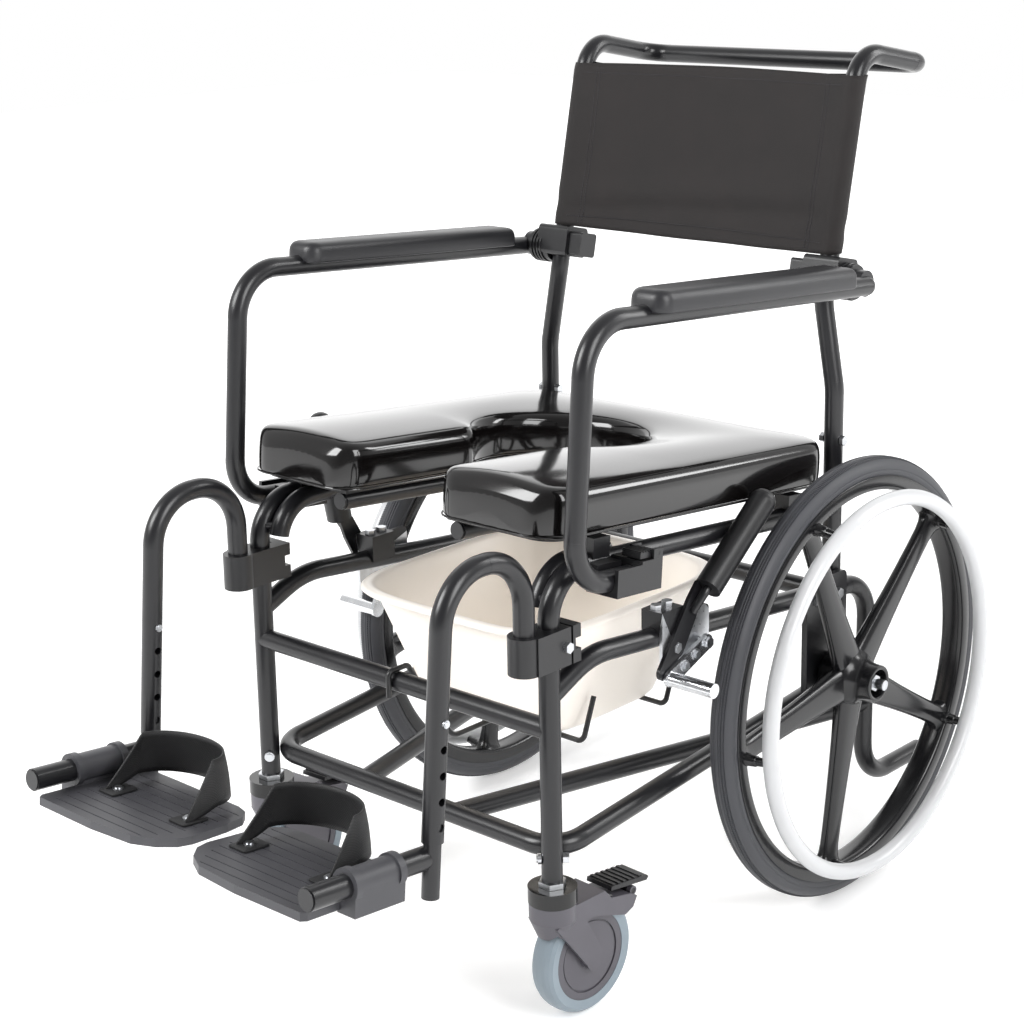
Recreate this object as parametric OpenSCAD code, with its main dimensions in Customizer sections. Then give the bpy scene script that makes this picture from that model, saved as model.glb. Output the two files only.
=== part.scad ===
// Self-propelled shower commode chair, in millimetres.
// Front is -Y, the occupant's left is +X, the floor is z = 0.
// Sizes along Y are given ahead of or behind the rear axle and shifted to the middle at the end.

/* [Tubes and fits] */
// Outside diameter of the frame, arm and hanger tubes
tube_d = 22.2; // [19:0.1:26]
// Gap between two pieces that are fixed to each other
fixed_gap = 0.1; // [0.05:0.05:0.2]
// Gap between two pieces that move past each other
move_gap = 0.3; // [0.3:0.05:0.6]
// Radial running gap of a pin in its hole
run_gap = 0.05; // [0.02:0.01:0.1]

/* [Main frame] */
// Half the distance between the two side frames
frame_x = 218; // [190:1:250]
// Front legs ahead of the rear axle
leg_ahead = 466.3; // [420:0.1:520]
// Height where the leg and the seat tube would meet
seat_corner_z = 493.3; // [470:0.1:530]
// Fall of the seat towards the back, in degrees
seat_tilt = 5.2; // [0:0.1:9]
// Bend radius at the top of the leg
leg_bend_r = 50; // [40:1:60]
// Height where the side tube meets the leg
side_foot_z = 362; // [345:1:375]
// Height of the bend near the front of the side tube
side_front_z = 389; // [375:1:395]
// Bend near the front of the side tube, behind the leg
side_front_back = 61.3; // [50:0.1:80]
// Height of the rear bend of the side tube
side_rear_z = 339; // [325:1:350]
// Rear upright of the side tube behind the canes
upright_behind = 77; // [60:1:90]
// Height of the rear tail of the side tube
tail_z = 80; // [70:1:100]
// End of the rear tail behind the rear upright
tail_end = 128; // [103:1:138]
// Bend radius of the rear upright and tail
tail_bend_r = 50; // [40:1:60]
// Bore of the open tail, for an anti-tip wheel
tail_bore = 18.2; // [15:0.1:18.4]
// Depth of the bore in the tail
tail_bore_depth = 60; // [40:1:70]
// Height of the front crossbar
front_bar_z = 325.7; // [300:0.1:335]
// Rear crossbar behind the axle
rear_bar_behind = 20; // [0:1:22]
// Height of the front run of the lower frame
low_front_z = 188.8; // [185:0.1:210]
// Rise of the lower frame towards the back, in degrees
low_tilt = 5.06; // [2:0.01:6]
// Bend radius of the lower frame corners
low_bend_r = 37.5; // [34:0.5:50]
// Brace on the front run, out from the middle
brace_x = 70; // [50:1:110]
// Height of the rear end of the braces
brace_end_z = 181.5; // [160:0.5:200]
// Bend radius of the short hooked tubes beside the legs
hook_r = 46; // [42:1:50]
// Height of the top of the hooked tubes
hook_z = 487; // [475:1:490]

/* [Back] */
// Cane axis behind the rear edge of the pad
cane_behind = 17; // [15:1:27]
// Cane leaves the upright line at this height
cane_kink_z = 590; // [570:1:620]
// Height of the upper kink of the cane
cane_lean_z = 690; // [660:1:700]
// Height of the bolts through the canes
cane_bolt_z = 529; // [515:1:560]
// Inward step of the canes above the kink
cane_step = 18; // [8:1:24]
// Height of the top corner of the canes
cane_top_z = 968; // [920:1:1050]
// Lean of the canes over their upper part
cane_lean = 61; // [40:1:80]
// Push handle behind the top corner
handle_reach = 134; // [110:1:150]
// Fall of the push handle
handle_fall = 24; // [0:1:35]
// Height of the lower edge of the sling
sling_low_z = 743; // [741:1:790]
// Height of the sling along the canes
sling_h = 187; // [120:1:188]
// Depth of the hollow of the sling
sling_sag = 26; // [5:1:40]
// Thickness of the sling cloth
sling_t = 2.4; // [1.5:0.1:4]

/* [Rear wheels] */
// Radius of the rear wheel over the tyre
wheel_r = 260; // [240:1:280]
// Thickness of the tyre
tyre_d = 30; // [24:1:34]
// Depth of the rim under the tyre
rim_depth = 8; // [6:0.5:12]
// Gap between the frame and the near face of the hub
hub_gap = 0.9; // [0.6:0.1:3]
// Tyre centre out from the near face of the hub
tyre_out = 33.2; // [32:0.1:40]
// Length of the hub
hub_len = 71.7; // [60:0.1:80]
// Radius of the hub barrel
hub_r = 22; // [19:0.5:30]
// Axle radius
axle_r = 6; // [5:0.1:7]
// Axle end beyond the hub
axle_out = 8; // [2:0.5:12]
// Number of spokes
spokes = 5; // [3:1:7]
// Angle of the first spoke
spoke_turn = -101; // [-180:1:180]
// Width of a spoke at the hub
spoke_hub_w = 42; // [30:1:50]
// Width of a spoke at the rim
spoke_rim_w = 26; // [16:1:34]
// Thickness of a spoke
spoke_t = 17; // [10:1:22]
// Radius of the hand rim at its centre line
handrim_r = 218.7; // [205:0.1:230]
// Tube diameter of the hand rim
handrim_d = 18.6; // [16:0.1:22]
// Hand rim out from the tyre centre
handrim_out = 43; // [38:0.5:55]
// Thickness of the axle plates
plate_t = 7.6; // [5:0.1:9]
// Half length of the axle plates
plate_half = 40; // [34:1:50]

/* [Casters] */
// Caster wheel diameter
caster_d = 127; // [100:1:150]
// Caster wheel width
caster_w = 30; // [24:1:36]
// Caster axle behind its stem
caster_trail = 41.3; // [35:0.1:48]
// Caster turned out from straight, in degrees
caster_turn = 3.6; // [-20:0.1:20]
// Height of the leg end above the caster wheel
caster_head = 45; // [42:1:60]
// Stem radius
stem_r = 6; // [5:0.1:7]
// Caster axle radius
caster_axle_r = 4; // [3:0.1:5]

/* [Seat] */
// Side edge of the pad beyond the side frame
seat_over = 12; // [0:1:14]
// Front edge of the pad ahead of the legs
pad_ahead = 8.7; // [0:0.1:15]
// Length of the pad
seat_len = 495; // [450:1:500]
// Pad thickness at its edge
pad_t = 50; // [30:1:55]
// Extra height in the middle of the pad
pad_crown = 5; // [0:0.5:12]
// Pad corner radius
pad_corner = 40; // [20:1:60]
// Underside of the pad above the seat tube axis
pad_lift = 33.7; // [33:0.1:45]
// Half width of the front slot
slot_half = 62; // [50:1:75]
// Corner radius of the pad beside the slot
slot_corner = 34; // [15:1:40]
// Half width of the opening
hole_half = 101; // [90:1:125]
// Half length of the opening
hole_len = 98; // [85:1:115]
// Middle of the opening behind the front of the pad
hole_mid = 277; // [265:1:300]
// Thickness of the seat board
board_t = 6; // [6:0.5:14]
// How far the board stands in from the pad's edge
board_in = 14; // [8:1:18]
// Diameter of the rails under the seat
rail_d = 20; // [14:0.5:24]
// Rail distance from the middle
rail_x = 88; // [86:0.5:110]
// Length of a saddle under the board
clip_len = 26; // [18:1:36]

/* [Pan] */
// Half width of the pan at its rim
pan_half = 150; // [130:1:165]
// Half length of the pan at its rim
pan_len = 162.5; // [140:0.5:175]
// Half width of the pan at its bottom
pan_base = 107; // [90:1:118]
// Height of the pan
pan_h = 146; // [110:1:160]
// Middle of the pan ahead of the axle
pan_ahead = 237.5; // [225:0.5:250]
// Wall of the pan
pan_wall = 3; // [2:0.5:5]
// Wire of the pan carrier
wire_d = 6; // [5:0.5:8]
// Height of the cross wires of the carrier
wire_z = 241; // [232:1:246]

/* [Armrests] */
// Arm tube out from the side frame
arm_out = 36; // [35.5:0.5:44]
// Height of the arm tube at its front corner
arm_front_z = 745.6; // [725:0.1:790]
// Fall of the arm tube towards the back, in degrees
arm_tilt = 4; // [2:0.1:6]
// Front corner of the arm ahead of the axle
arm_ahead = 447; // [430:1:470]
// Height of the arm pivot
arm_pivot_z = 714; // [705:1:722]
// Pivot pin radius
arm_pin_r = 6; // [5:0.1:8]
// Width of the arm pad
arm_pad_w = 50; // [40:1:52]
// Length of the arm pad
arm_pad_len = 347; // [300:1:370]
// Rear end of the arm pad ahead of the pivot
arm_pad_back = 54; // [40:1:70]
// Top of the arm pad above the tube axis
arm_pad_top = 27; // [20:0.5:34]

/* [Footrests] */
// Hanger in from the side frame
hanger_in = 2; // [0:0.5:6]
// Hanger socket ahead of the leg
hanger_ahead = 34.2; // [31:0.1:42]
// Foot of the clamp above the floor
clamp_z = 396; // [380:1:400]
// Height of the clamp
clamp_h = 40; // [36:1:52]
// Height of the hanger top over the floor, at the tube axis
hanger_top_z = 523; // [500:1:580]
// Reach of the hanger bow
hanger_reach = 112; // [108:1:140]
// Bend radius of the hanger bow
hanger_bend_r = 56; // [45:1:56]
// Lower end of the hanger over the floor
hanger_low_z = 264; // [250:1:290]
// Lean of the hanger leg, in degrees
hanger_lean = 5.3; // [0:0.1:9]
// Diameter of the sliding extension
ext_d = 18.1; // [14:0.1:18.4]
// Length of the extension inside the hanger
ext_in = 136; // [130:1:150]
// Length of the extension below the hanger
ext_out = 57; // [50:1:70]
// Pitch of the adjusting holes
hole_pitch = 26; // [20:1:32]
// Diameter of the snap button
button_d = 8; // [6:0.5:9]
// Diameter of the footplate bar
bar_d = 23.8; // [20:0.1:25]
// Length of the footplate bar
bar_len = 159; // [150:1:180]
// Rise of the footplate towards the front, in degrees
plate_rise = 5.45; // [0:0.05:10]
// Footplate top under the bar axis
plate_drop = 16; // [14:0.5:20]
// Thickness of the footplate
foot_t = 9; // [6:0.5:12]
// Width of the footplate from the bar axis
foot_w = 200; // [150:1:202]
// Height of the heel loop webbing
loop_h = 40; // [25:1:50]

/* [Wheel locks] */
// Lever pivot ahead of the axle
lock_ahead = 283; // [275:1:300]
// Lever pivot height over the floor
lock_z = 367; // [360:1:375]
// Travel of the lever, in degrees
lock_travel = 64; // [50:1:66]
// Shoe travel for each degree of lever travel
lock_ratio = 0.7; // [0.5:0.01:0.7]
// Radius of the shoe bar
shoe_r = 8; // [5:0.5:8]
// Length of the shoe bar across the tyre
shoe_len = 60.5; // [50:0.5:64]
// Radius of the lever grip
grip_r = 15; // [9:0.5:15]
// Length of the lever grip
grip_len = 142; // [90:1:150]

/* [Hidden] */
$fn = 48;
// Straight tubes reach this far into a bend, which is this much thicker, so that they join cleanly
bend_lap = 0.8;
bend_swell = 0.2;
branch_slim = 0.2;
tr = tube_d / 2;
leg_y = -leg_ahead;
seat_y = leg_y - pad_ahead;
pad_rear = seat_y + seat_len * cos(seat_tilt);
cane_y = pad_rear + cane_behind;
upright_y = cane_y + upright_behind;
tail_y = upright_y + tail_end;
leg_foot_z = caster_d + caster_head;
leg_end_z = leg_foot_z - 11;
side_face = frame_x + tr;
function seat_z(y) = seat_corner_z - tan(seat_tilt) * (y - leg_y);
side_front_y = leg_y + side_front_back;
side_slope = (side_rear_z - side_front_z) / (upright_y - side_front_y);
function side_z(y) = side_front_z + side_slope * (y - side_front_y);
rear_bar_z = side_z(rear_bar_behind);
low_back = sqrt(pow(low_bend_r + tube_d + 0.3, 2) - pow(low_bend_r, 2)) - low_bend_r;
low_y = leg_y + low_back;
function low_z(y) = low_front_z + tan(low_tilt) * (y - low_y);
low_end_y = 20;

cane_x = frame_x - cane_step;
cane_low = [cane_x, cane_y + 1, cane_lean_z];
cane_high = [cane_x + 1, cane_y + 1 + cane_lean, cane_top_z];
cane_dir = (cane_high - cane_low) / norm(cane_high - cane_low);
cane_angle = atan2(cane_dir[1], cane_dir[2]);
handle_end = [cane_x + 7, cane_high[1] + handle_reach, cane_top_z - handle_fall];
function cane_at(z) = cane_low + (cane_high - cane_low) * (z - cane_lean_z) / (cane_top_z - cane_lean_z);

axle_z = wheel_r;
plate_x0 = side_face + move_gap;
plate_x1 = plate_x0 + plate_t;
plate_low = low_z(0) - 17;
plate_high = side_z(0) + 25;
hub_x0 = plate_x1 + hub_gap + 0.4;
wheel_x = hub_x0 + tyre_out;
hub_x1 = hub_x0 + hub_len;
tyre_r = wheel_r - tyre_d / 2;
handrim_x = wheel_x + handrim_out;

seat_half = frame_x + seat_over;
rail_z = -board_t - 2 * fixed_gap - rail_d / 2;

pan_y = -pan_ahead;
pan_z = wire_z + wire_d / 2 + move_gap;

arm_x = frame_x + arm_out;
arm_y = -arm_ahead;
function arm_z(y) = arm_front_z - tan(arm_tilt) * (y - arm_y);
pivot = [0, cane_at(arm_pivot_z)[1], arm_pivot_z];
pad_end_y = pivot[1] - arm_pad_back;
block_x1 = arm_x - tr - 3;
arm_low_y = arm_y - 23;
arm_low_z = seat_z(arm_low_y) - 9.7;
arm_end_y = leg_y + 83.3;
function arm_run_z(y) = arm_low_z - tan(5) * (y - arm_low_y);
clip_y = arm_end_y - 17;

hanger_x = frame_x - hanger_in;
hanger_y = leg_y - hanger_ahead;
hanger_front = [hanger_x, hanger_y - hanger_reach, hanger_top_z];
lean_dir = [0, -sin(hanger_lean), -cos(hanger_lean)];
hanger_len = (hanger_top_z - hanger_low_z) / cos(hanger_lean);
hanger_tip = hanger_front + lean_dir * hanger_len;
button_at = hanger_tip - lean_dir * 120.5;
bar_x = hanger_x - 5;
bar_from = hanger_tip + lean_dir * 17;
bar_at = [bar_x, bar_from[1], bar_from[2]];
front_reach = -bar_at[1] + bar_len * cos(plate_rise) + bar_d / 2 * sin(plate_rise);

lock_at = [0, -lock_ahead, lock_z];
shoe_at = lock_at + [0, 45, -5];
shoe_arm = [0, -62, -24];
lock_x0 = plate_x0;
lever_x0 = lock_x0 + 4.6;
shoe_x0 = lever_x0 + 5.5;
grip_x = lever_x0 + 12.5;

axle_y = (front_reach - wheel_r) / 2;

// Helpers

function unit(v) = v / norm(v);
function turn_of(a, b, c) = acos(unit(b - a) * unit(c - b));

// A straight round bar from a to b.
module rod(a, b, d) {
    v = b - a;
    translate(a) rotate([0, acos(v[2] / norm(v)), atan2(v[1], v[0])]) cylinder(d = d, h = norm(v));
}

// The curved piece of a tube at corner p, arriving along u and leaving along v.
module bend(p, u, v, r, d) {
    th = acos(u * v);
    n = unit(v - (u * v) * u);
    c = p - u * r * tan(th / 2) + n * r;
    w = cross(u, n);
    multmatrix([[-n[0], u[0], w[0], c[0]], [-n[1], u[1], w[1], c[1]], [-n[2], u[2], w[2], c[2]], [0, 0,
        0, 1]])
        rotate_extrude(angle = th) translate([r, 0]) circle(d = d + bend_swell);
}

// A tube through the points p, with bend radius r[i - 1] at inner point i.
module bent_tube(p, r, d) {
    n = len(p);
    cut = [for (i = [0:n - 1]) i == 0 || i == n - 1 ? 0 : r[i - 1] * tan(turn_of(p[i - 1], p[i],
        p[i + 1]) / 2)];
    for (i = [0:n - 2]) {
        u = unit(p[i + 1] - p[i]);
        rod(p[i] + u * max(0, cut[i] - bend_lap), p[i + 1] - u * max(0, cut[i + 1] - bend_lap), d);
    }
    for (i = [1:n - 2]) bend(p[i], unit(p[i] - p[i - 1]), unit(p[i + 1] - p[i]), r[i - 1], d);
}

// A rounded end of diameter d at a, facing along v.
module dome(a, v, d) {
    r = d / 2;
    translate(a) rotate([0, acos(v[2] / norm(v)), atan2(v[1], v[0])])
        rotate_extrude() polygon(concat([[0, -1], [r, -1]], [for (q = [0:15:75]) [r * cos(q),
            r * sin(q)]], [[0, r]]));
}

// A round-cornered plate that faces X, from x0 to x1.
module plate_x(x0, x1, y0, y1, z0, z1, r) {
    translate([x0, y0 + r, z0]) cube([x1 - x0, y1 - y0 - 2 * r, z1 - z0]);
    translate([x0, y0, z0 + r]) cube([x1 - x0, y1 - y0, z1 - z0 - 2 * r]);
    for (y = [y0 + r, y1 - r], z = [z0 + r, z1 - r]) rod([x0, y, z], [x1, y, z], 2 * r);
}

// A prism that faces X, from a list of [y, z] points.
module prism_x(x0, x1, pts) {
    multmatrix([[0, 0, 1, x0], [1, 0, 0, 0], [0, 1, 0, 0], [0, 0, 0, 1]])
        linear_extrude(height = x1 - x0) polygon(pts);
}

// A turned piece about the X axis at height z, from [radius, x] points.
module turned_x(z, pts) {
    translate([0, 0, z]) rotate([0, 90, 0]) rotate_extrude() polygon(pts);
}

// A hexagon nut or head from a along direction v, h high, r over its corners.
module hex(a, v, h, r) {
    translate(a) rotate([0, acos(v[2] / norm(v)), atan2(v[1], v[0])]) cylinder(r = r, h = h, $fn = 6);
}

// The left pieces are drawn; the right ones are their mirror image.
module side(s) { if (s > 0) children(); else mirror([1, 0, 0]) children(); }
module placed() { translate([0, axle_y, 0]) children(); }
module turned_about(p, a) { translate(p) rotate([a, 0, 0]) translate(-p) children(); }

// Frame

module side_line(d) { rod([frame_x, side_front_y + 40, side_z(side_front_y + 40)], [frame_x, 60,
    side_z(60)], d); }

// Leg, seat tube, side tube with its rear upright and open tail, and the short hooked tube.
module side_frame() {
    hook_x = frame_x - tube_d - move_gap;
    hook_y = leg_y + 55.3;
    difference() {
        union() {
            bent_tube([[frame_x, leg_y, leg_end_z], [frame_x, leg_y, seat_corner_z],
                [frame_x, cane_y, seat_z(cane_y)]], [leg_bend_r], tube_d);
            bent_tube([[frame_x, leg_y, side_foot_z], [frame_x, side_front_y, side_front_z],
                [frame_x, upright_y, side_rear_z], [frame_x, upright_y, tail_z],
                [frame_x, tail_y, tail_z]], [110, tail_bend_r, tail_bend_r], tube_d - branch_slim);
            bent_tube([[hook_x, hook_y - 45.1, hook_z - 36.8], [hook_x, hook_y - 35.9, hook_z],
                [hook_x, hook_y + 27, hook_z]], [hook_r], tube_d);
            rod([hook_x, hook_y + 26, hook_z], [hook_x, hook_y + 61, hook_z], tube_d - 3.2);
            rod([hook_x, hook_y - 43, hook_z - 26], [frame_x, leg_y, hook_z - 26], 9);
        }
        translate([frame_x, cane_y, seat_z(cane_y) - 30]) cylinder(r = tr + fixed_gap, h = 60);
        rod([frame_x, tail_y - tail_bore_depth, tail_z], [frame_x, tail_y + 1, tail_z], tail_bore);
        rod([hook_x, hook_y - 48, hook_z - 48], [hook_x, hook_y - 42.5, hook_z - 26], tube_d - 4);
    }
}

// Front and rear crossbars, coped to the side frames.
module crossbars() color("#2b2b2e") placed() difference() {
    union() {
        rod([-frame_x, leg_y, front_bar_z], [frame_x, leg_y, front_bar_z], tube_d);
        rod([-frame_x, rear_bar_behind, rear_bar_z], [frame_x, rear_bar_behind, rear_bar_z], tube_d);
    }
    for (s = [-1, 1]) {
        translate([s * frame_x, leg_y, front_bar_z - 30]) cylinder(r = tr + fixed_gap, h = 60);
        side(s) side_line(tube_d + 2 * fixed_gap);
        translate([s * frame_x, cane_y, rear_bar_z - 30]) cylinder(r = tr + fixed_gap, h = 60);
    }
}

// Bent lower frame with its two slanting braces.
module lower_frame() color("#2b2b2e") placed() {
    bent_tube([[frame_x, low_end_y, low_z(low_end_y)], [frame_x, low_y, low_front_z],
        [-frame_x, low_y, low_front_z], [-frame_x, low_end_y, low_z(low_end_y)]],
        [low_bend_r, low_bend_r], tube_d);
    for (s = [-1, 1]) side(s) difference() {
        rod([brace_x, low_y, low_front_z], [frame_x, upright_y, brace_end_z], tube_d - branch_slim);
        translate([frame_x, upright_y, brace_end_z - 40]) cylinder(r = tr + fixed_gap, h = 80);
    }
}

// Both canes and the push bar, bent from one tube.
function flip(p) = [-p[0], p[1], p[2]];
module back_frame() color("#2b2b2e") placed() {
    low = [frame_x, cane_y, side_z(cane_y)];
    kink = [frame_x, cane_y, cane_kink_z];
    difference() {
        bent_tube([low, kink, cane_low, cane_high, handle_end, flip(handle_end), flip(cane_high),
            flip(cane_low), flip(kink), flip(low)], [80, 80, 38, 30, 30, 38, 80, 80], tube_d);
        for (s = [-1, 1]) side(s) side_line(tube_d + 2 * fixed_gap);
    }
}

// Sling back: a hollow cloth panel with a sleeve round each cane.
module back_sling() color("#232326") placed() sling_cloth();
module sling_cloth() {
    cols = 36;
    rows = 10;
    a = cane_at(sling_low_z);
    b = a + cane_dir * sling_h / cane_dir[2];
    // Hollow of the cloth, deepest at the middle, with slack folds towards the lower edge.
    function sag(u, t) = sling_sag * (1 - u * u) * (0.55 + 0.45 * sin(180 * (0.15 + 0.8 * t)))
        + 3 * (1 - t) * (1 - u * u) * sin(360 * (1.6 * u + 0.35 * t)) * u * u;
    function cloth(i, j, k) = let (t = i / rows, u = -1 + 2 * j / cols, c = a + (b - a) * t)
        [u * (c[0] - 1), c[1] - 11.9 + sag(u, t) + (k - 0.5) * sling_t, c[2]];
    n = cols + 1;
    front = [for (i = [0:rows], j = [0:cols]) cloth(i, j, 0)];
    back = [for (i = [0:rows], j = [0:cols]) cloth(i, j, 1)];
    m = len(front);
    faces = concat(
        [for (i = [0:rows - 1], j = [0:cols - 1], q = [0, 1])
            q == 0 ? [i * n + j, (i + 1) * n + j, i * n + j + 1]
                   : [i * n + j + 1, (i + 1) * n + j, (i + 1) * n + j + 1]],
        [for (i = [0:rows - 1], j = [0:cols - 1], q = [0, 1])
            q == 0 ? [m + i * n + j, m + i * n + j + 1, m + (i + 1) * n + j]
                   : [m + i * n + j + 1, m + (i + 1) * n + j + 1, m + (i + 1) * n + j]],
        [for (j = [0:cols - 1], q = [0, 1]) q == 0 ? [j, j + 1, m + j] : [j + 1, m + j + 1, m + j]],
        [for (j = [0:cols - 1], q = [0, 1]) let (o = rows * n)
            q == 0 ? [o + j, m + o + j, o + j + 1] : [o + j + 1, m + o + j, m + o + j + 1]],
        [for (i = [0:rows - 1], q = [0, 1])
            q == 0 ? [i * n, m + i * n, (i + 1) * n] : [(i + 1) * n, m + i * n, m + (i + 1) * n]],
        [for (i = [0:rows - 1], q = [0, 1]) let (e = i * n + cols)
            q == 0 ? [e, e + n, m + e] : [e + n, m + e + n, m + e]]);
    difference() {
        union() {
            polyhedron(concat(front, back), faces);
            for (s = [-1, 1]) side(s) rod(a, b, tube_d + 4.4);
        }
        for (s = [-1, 1]) side(s) rod(a - cane_dir * 20, b + cane_dir * 20, tube_d + 0.4);
    }
}

// Plates that carry the rear axles, against the outer faces of the side frames.
module axle_plates() color("#1f1f21") placed() for (s = [-1, 1]) side(s) difference() {
    plate_x(plate_x0, plate_x1, -plate_half, plate_half, plate_low, plate_high, 9);
    rod([plate_x0 - 1, 0, axle_z], [plate_x1 + 1, 0, axle_z], 2 * (axle_r + fixed_gap));
}

// Rear axles with their inner heads, washers and outer nuts.
module axles() color("#b9bcc0") placed() for (s = [-1, 1]) side(s) {
    rod([plate_x0 - 8, 0, axle_z], [hub_x1 + axle_out, 0, axle_z], 2 * axle_r);
    hex([plate_x0 - 8, 0, axle_z], [1, 0, 0], 8 - fixed_gap, axle_r + 4);
    rod([plate_x1 + fixed_gap, 0, axle_z], [hub_x0 - move_gap, 0, axle_z], 2 * axle_r + 8);
    hex([hub_x1 - 14 + 2 * move_gap, 0, axle_z], [1, 0, 0], 9, axle_r + 4);
}

// Bolts and nuts of the frame.
module frame_bolts() color("#c3c5c8") placed() for (s = [-1, 1]) side(s) {
    d = unit([-1, -1, 0]);
    leg = [frame_x, leg_y, leg_foot_z + 13];
    rod(leg + d * (tr + fixed_gap), leg + d * (tr + 3.6), 11.5);
    rod(leg + d * (tr + 3.5), leg + d * (tr + 5), 8);
    hex(leg - d * (tr + fixed_gap), -d, 6.5, 6);
    hex([side_face + fixed_gap, cane_y, cane_bolt_z], [1, 0, 0], 4.5, 6);
    hex([frame_x - tr - fixed_gap, cane_y, cane_bolt_z], [-1, 0, 0], 5.5, 6);
    for (y = [-plate_half / 2, plate_half / 2], z = [plate_low + 17, plate_high - 25])
        hex([plate_x1 + fixed_gap, y, z], [1, 0, 0], 5, 7);
    hex([clamp_x1() + fixed_gap, leg_y + 8.3, clamp_z + clamp_h / 2], [1, 0, 0], 4.5, 6);
    for (y = [-9, 9])
        hex([frame_x, lock_at[1] - 2 + y, block_top() + fixed_gap], [0, 0, 1], 5, 6.5);
}

// Zinc nuts and swivel stems of the front casters.
module caster_stems() color("#c3c5c8") placed() for (s = [-1, 1]) side(s) translate([frame_x, leg_y, 0]) {
    translate([0, 0, leg_foot_z - 50]) cylinder(r = stem_r, h = 39 - fixed_gap);
    translate([0, 0, leg_foot_z - 17]) cylinder(r = 15, h = 6 - fixed_gap, $fn = 6);
}

// Block on the cane that carries the arm pivot.
module arm_block() {
    c = cane_at(arm_pivot_z);
    difference() {
        union() {
            translate(c) rotate([-cane_angle, 0, 0])
                {
                plate_x(-22, 26, -20, 20, -11.5, 26, 6);
                plate_x(-42, -10, -15, 14, -10, 20, 4);
            }
            rod([c[0] + 10, pivot[1], pivot[2]], [block_x1, pivot[1], pivot[2]], 40);
            for (x = [block_x1 - 21:5:block_x1 - 3])
                rod([x, pivot[1], pivot[2]], [x + 2.4, pivot[1], pivot[2]], 43);
        }
        rod(cane_at(arm_pivot_z - 60), cane_at(arm_pivot_z + 60), tube_d + 2 * fixed_gap);
        rod([block_x1 - 22, pivot[1], pivot[2]], [block_x1 + 1, pivot[1], pivot[2]],
            2 * (arm_pin_r + run_gap));
    }
}

// Open-topped clip on the seat tube that holds the lower end of the arm.
module clip_frame() { translate([arm_x, clip_y, arm_run_z(clip_y)]) rotate([-5, 0, 0]) children(); }
clip_in = -(arm_out - tr - 0.2);
module arm_clip() clip_frame() difference() {
    union() {
        translate([clip_in, -20, -tr - 4.4]) cube([-clip_in + tr + 5, 38.5, tr + 18]);
        translate([clip_in, 18, -tr - 4.4]) cube([-clip_in + tr + 5, 32.5, tr + 21.4]);
        for (x = [-16, 12.4]) translate([x, 36, 0]) cube([3.6, 14.5, 27]);
    }
    rod([0, -21, 0], [0, 18, 0], tube_d + 2 * move_gap);
    translate([-tr - move_gap, -21, 0]) cube([tube_d + 2 * move_gap, 39, 60]);
    rod([-20, 43, 22.5], [20, 43, 22.5], 2 * (2.5 + run_gap));
}

// Ribbed thumb latch on the clip.
module arm_latch() clip_frame() {
    translate([-12, 19, 18.5]) cube([24, 28, 6]);
    for (y = [20:4:36]) translate([-12, y, 24]) cube([24, 2, 2]);
    rod([-15.8, 43, 22.5], [15.8, 43, 22.5], 5);
}

// Two-bore clamp that holds the hanger on the leg.
function clamp_x1() = frame_x + 17;
module footrest_clamp() difference() {
    union() {
        translate([hanger_x, hanger_y, clamp_z]) cylinder(r = tr + 6, h = clamp_h);
        translate([clamp_x1() - 34, hanger_y, clamp_z]) cube([34, hanger_ahead + 30, clamp_h]);
    }
    translate([hanger_x, hanger_y, clamp_z + 5]) cylinder(r = tr + run_gap, h = clamp_h);
    translate([frame_x, leg_y, clamp_z - 1]) cylinder(r = tr + fixed_gap, h = clamp_h + 2);
    translate([frame_x, leg_y + tr + 4, clamp_z - 1]) cube([30, 3, clamp_h + 2]);
    rod([frame_x, leg_y, side_foot_z], [frame_x, leg_y + (side_front_back) * 1.5,
        side_foot_z + (side_front_z - side_foot_z) * 1.5], tube_d + 4);
    translate([clamp_x1() - 40, leg_y + 22, clamp_z + 14]) cube([44, 20, clamp_h - 28]);
}

// Wire carrier that hooks over both crossbars and holds the pan.
module pan_carrier() color("#b4b6b9") placed() {
    o = tr + wire_d / 2 + 0.4;
    main_z = wire_z - wire_d + 1.5;
    bent_tube([[0, leg_y - o, front_bar_z - 14], [0, leg_y - o, front_bar_z + o], [0, leg_y + o,
        front_bar_z + o],
        [0, pan_y - pan_len + 15, main_z], [0, pan_y + pan_len - 35, main_z],
        [0, rear_bar_behind - o, rear_bar_z - 45], [0, rear_bar_behind - o, rear_bar_z + o],
        [0, rear_bar_behind + o, rear_bar_z + o], [0, rear_bar_behind + o, rear_bar_z - 10]],
        [7, 7, 16, 20, 20, 7, 7], wire_d);
    for (y = [pan_y - 75.5, pan_y + 69.5])
        bent_tube([[-pan_base - 23, y + 19, wire_z + 48], [-pan_base - 23, y, wire_z], [pan_base + 23,
            y, wire_z],
            [pan_base + 23, y + 19, wire_z + 48]], [8, 8], wire_d);
}

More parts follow.
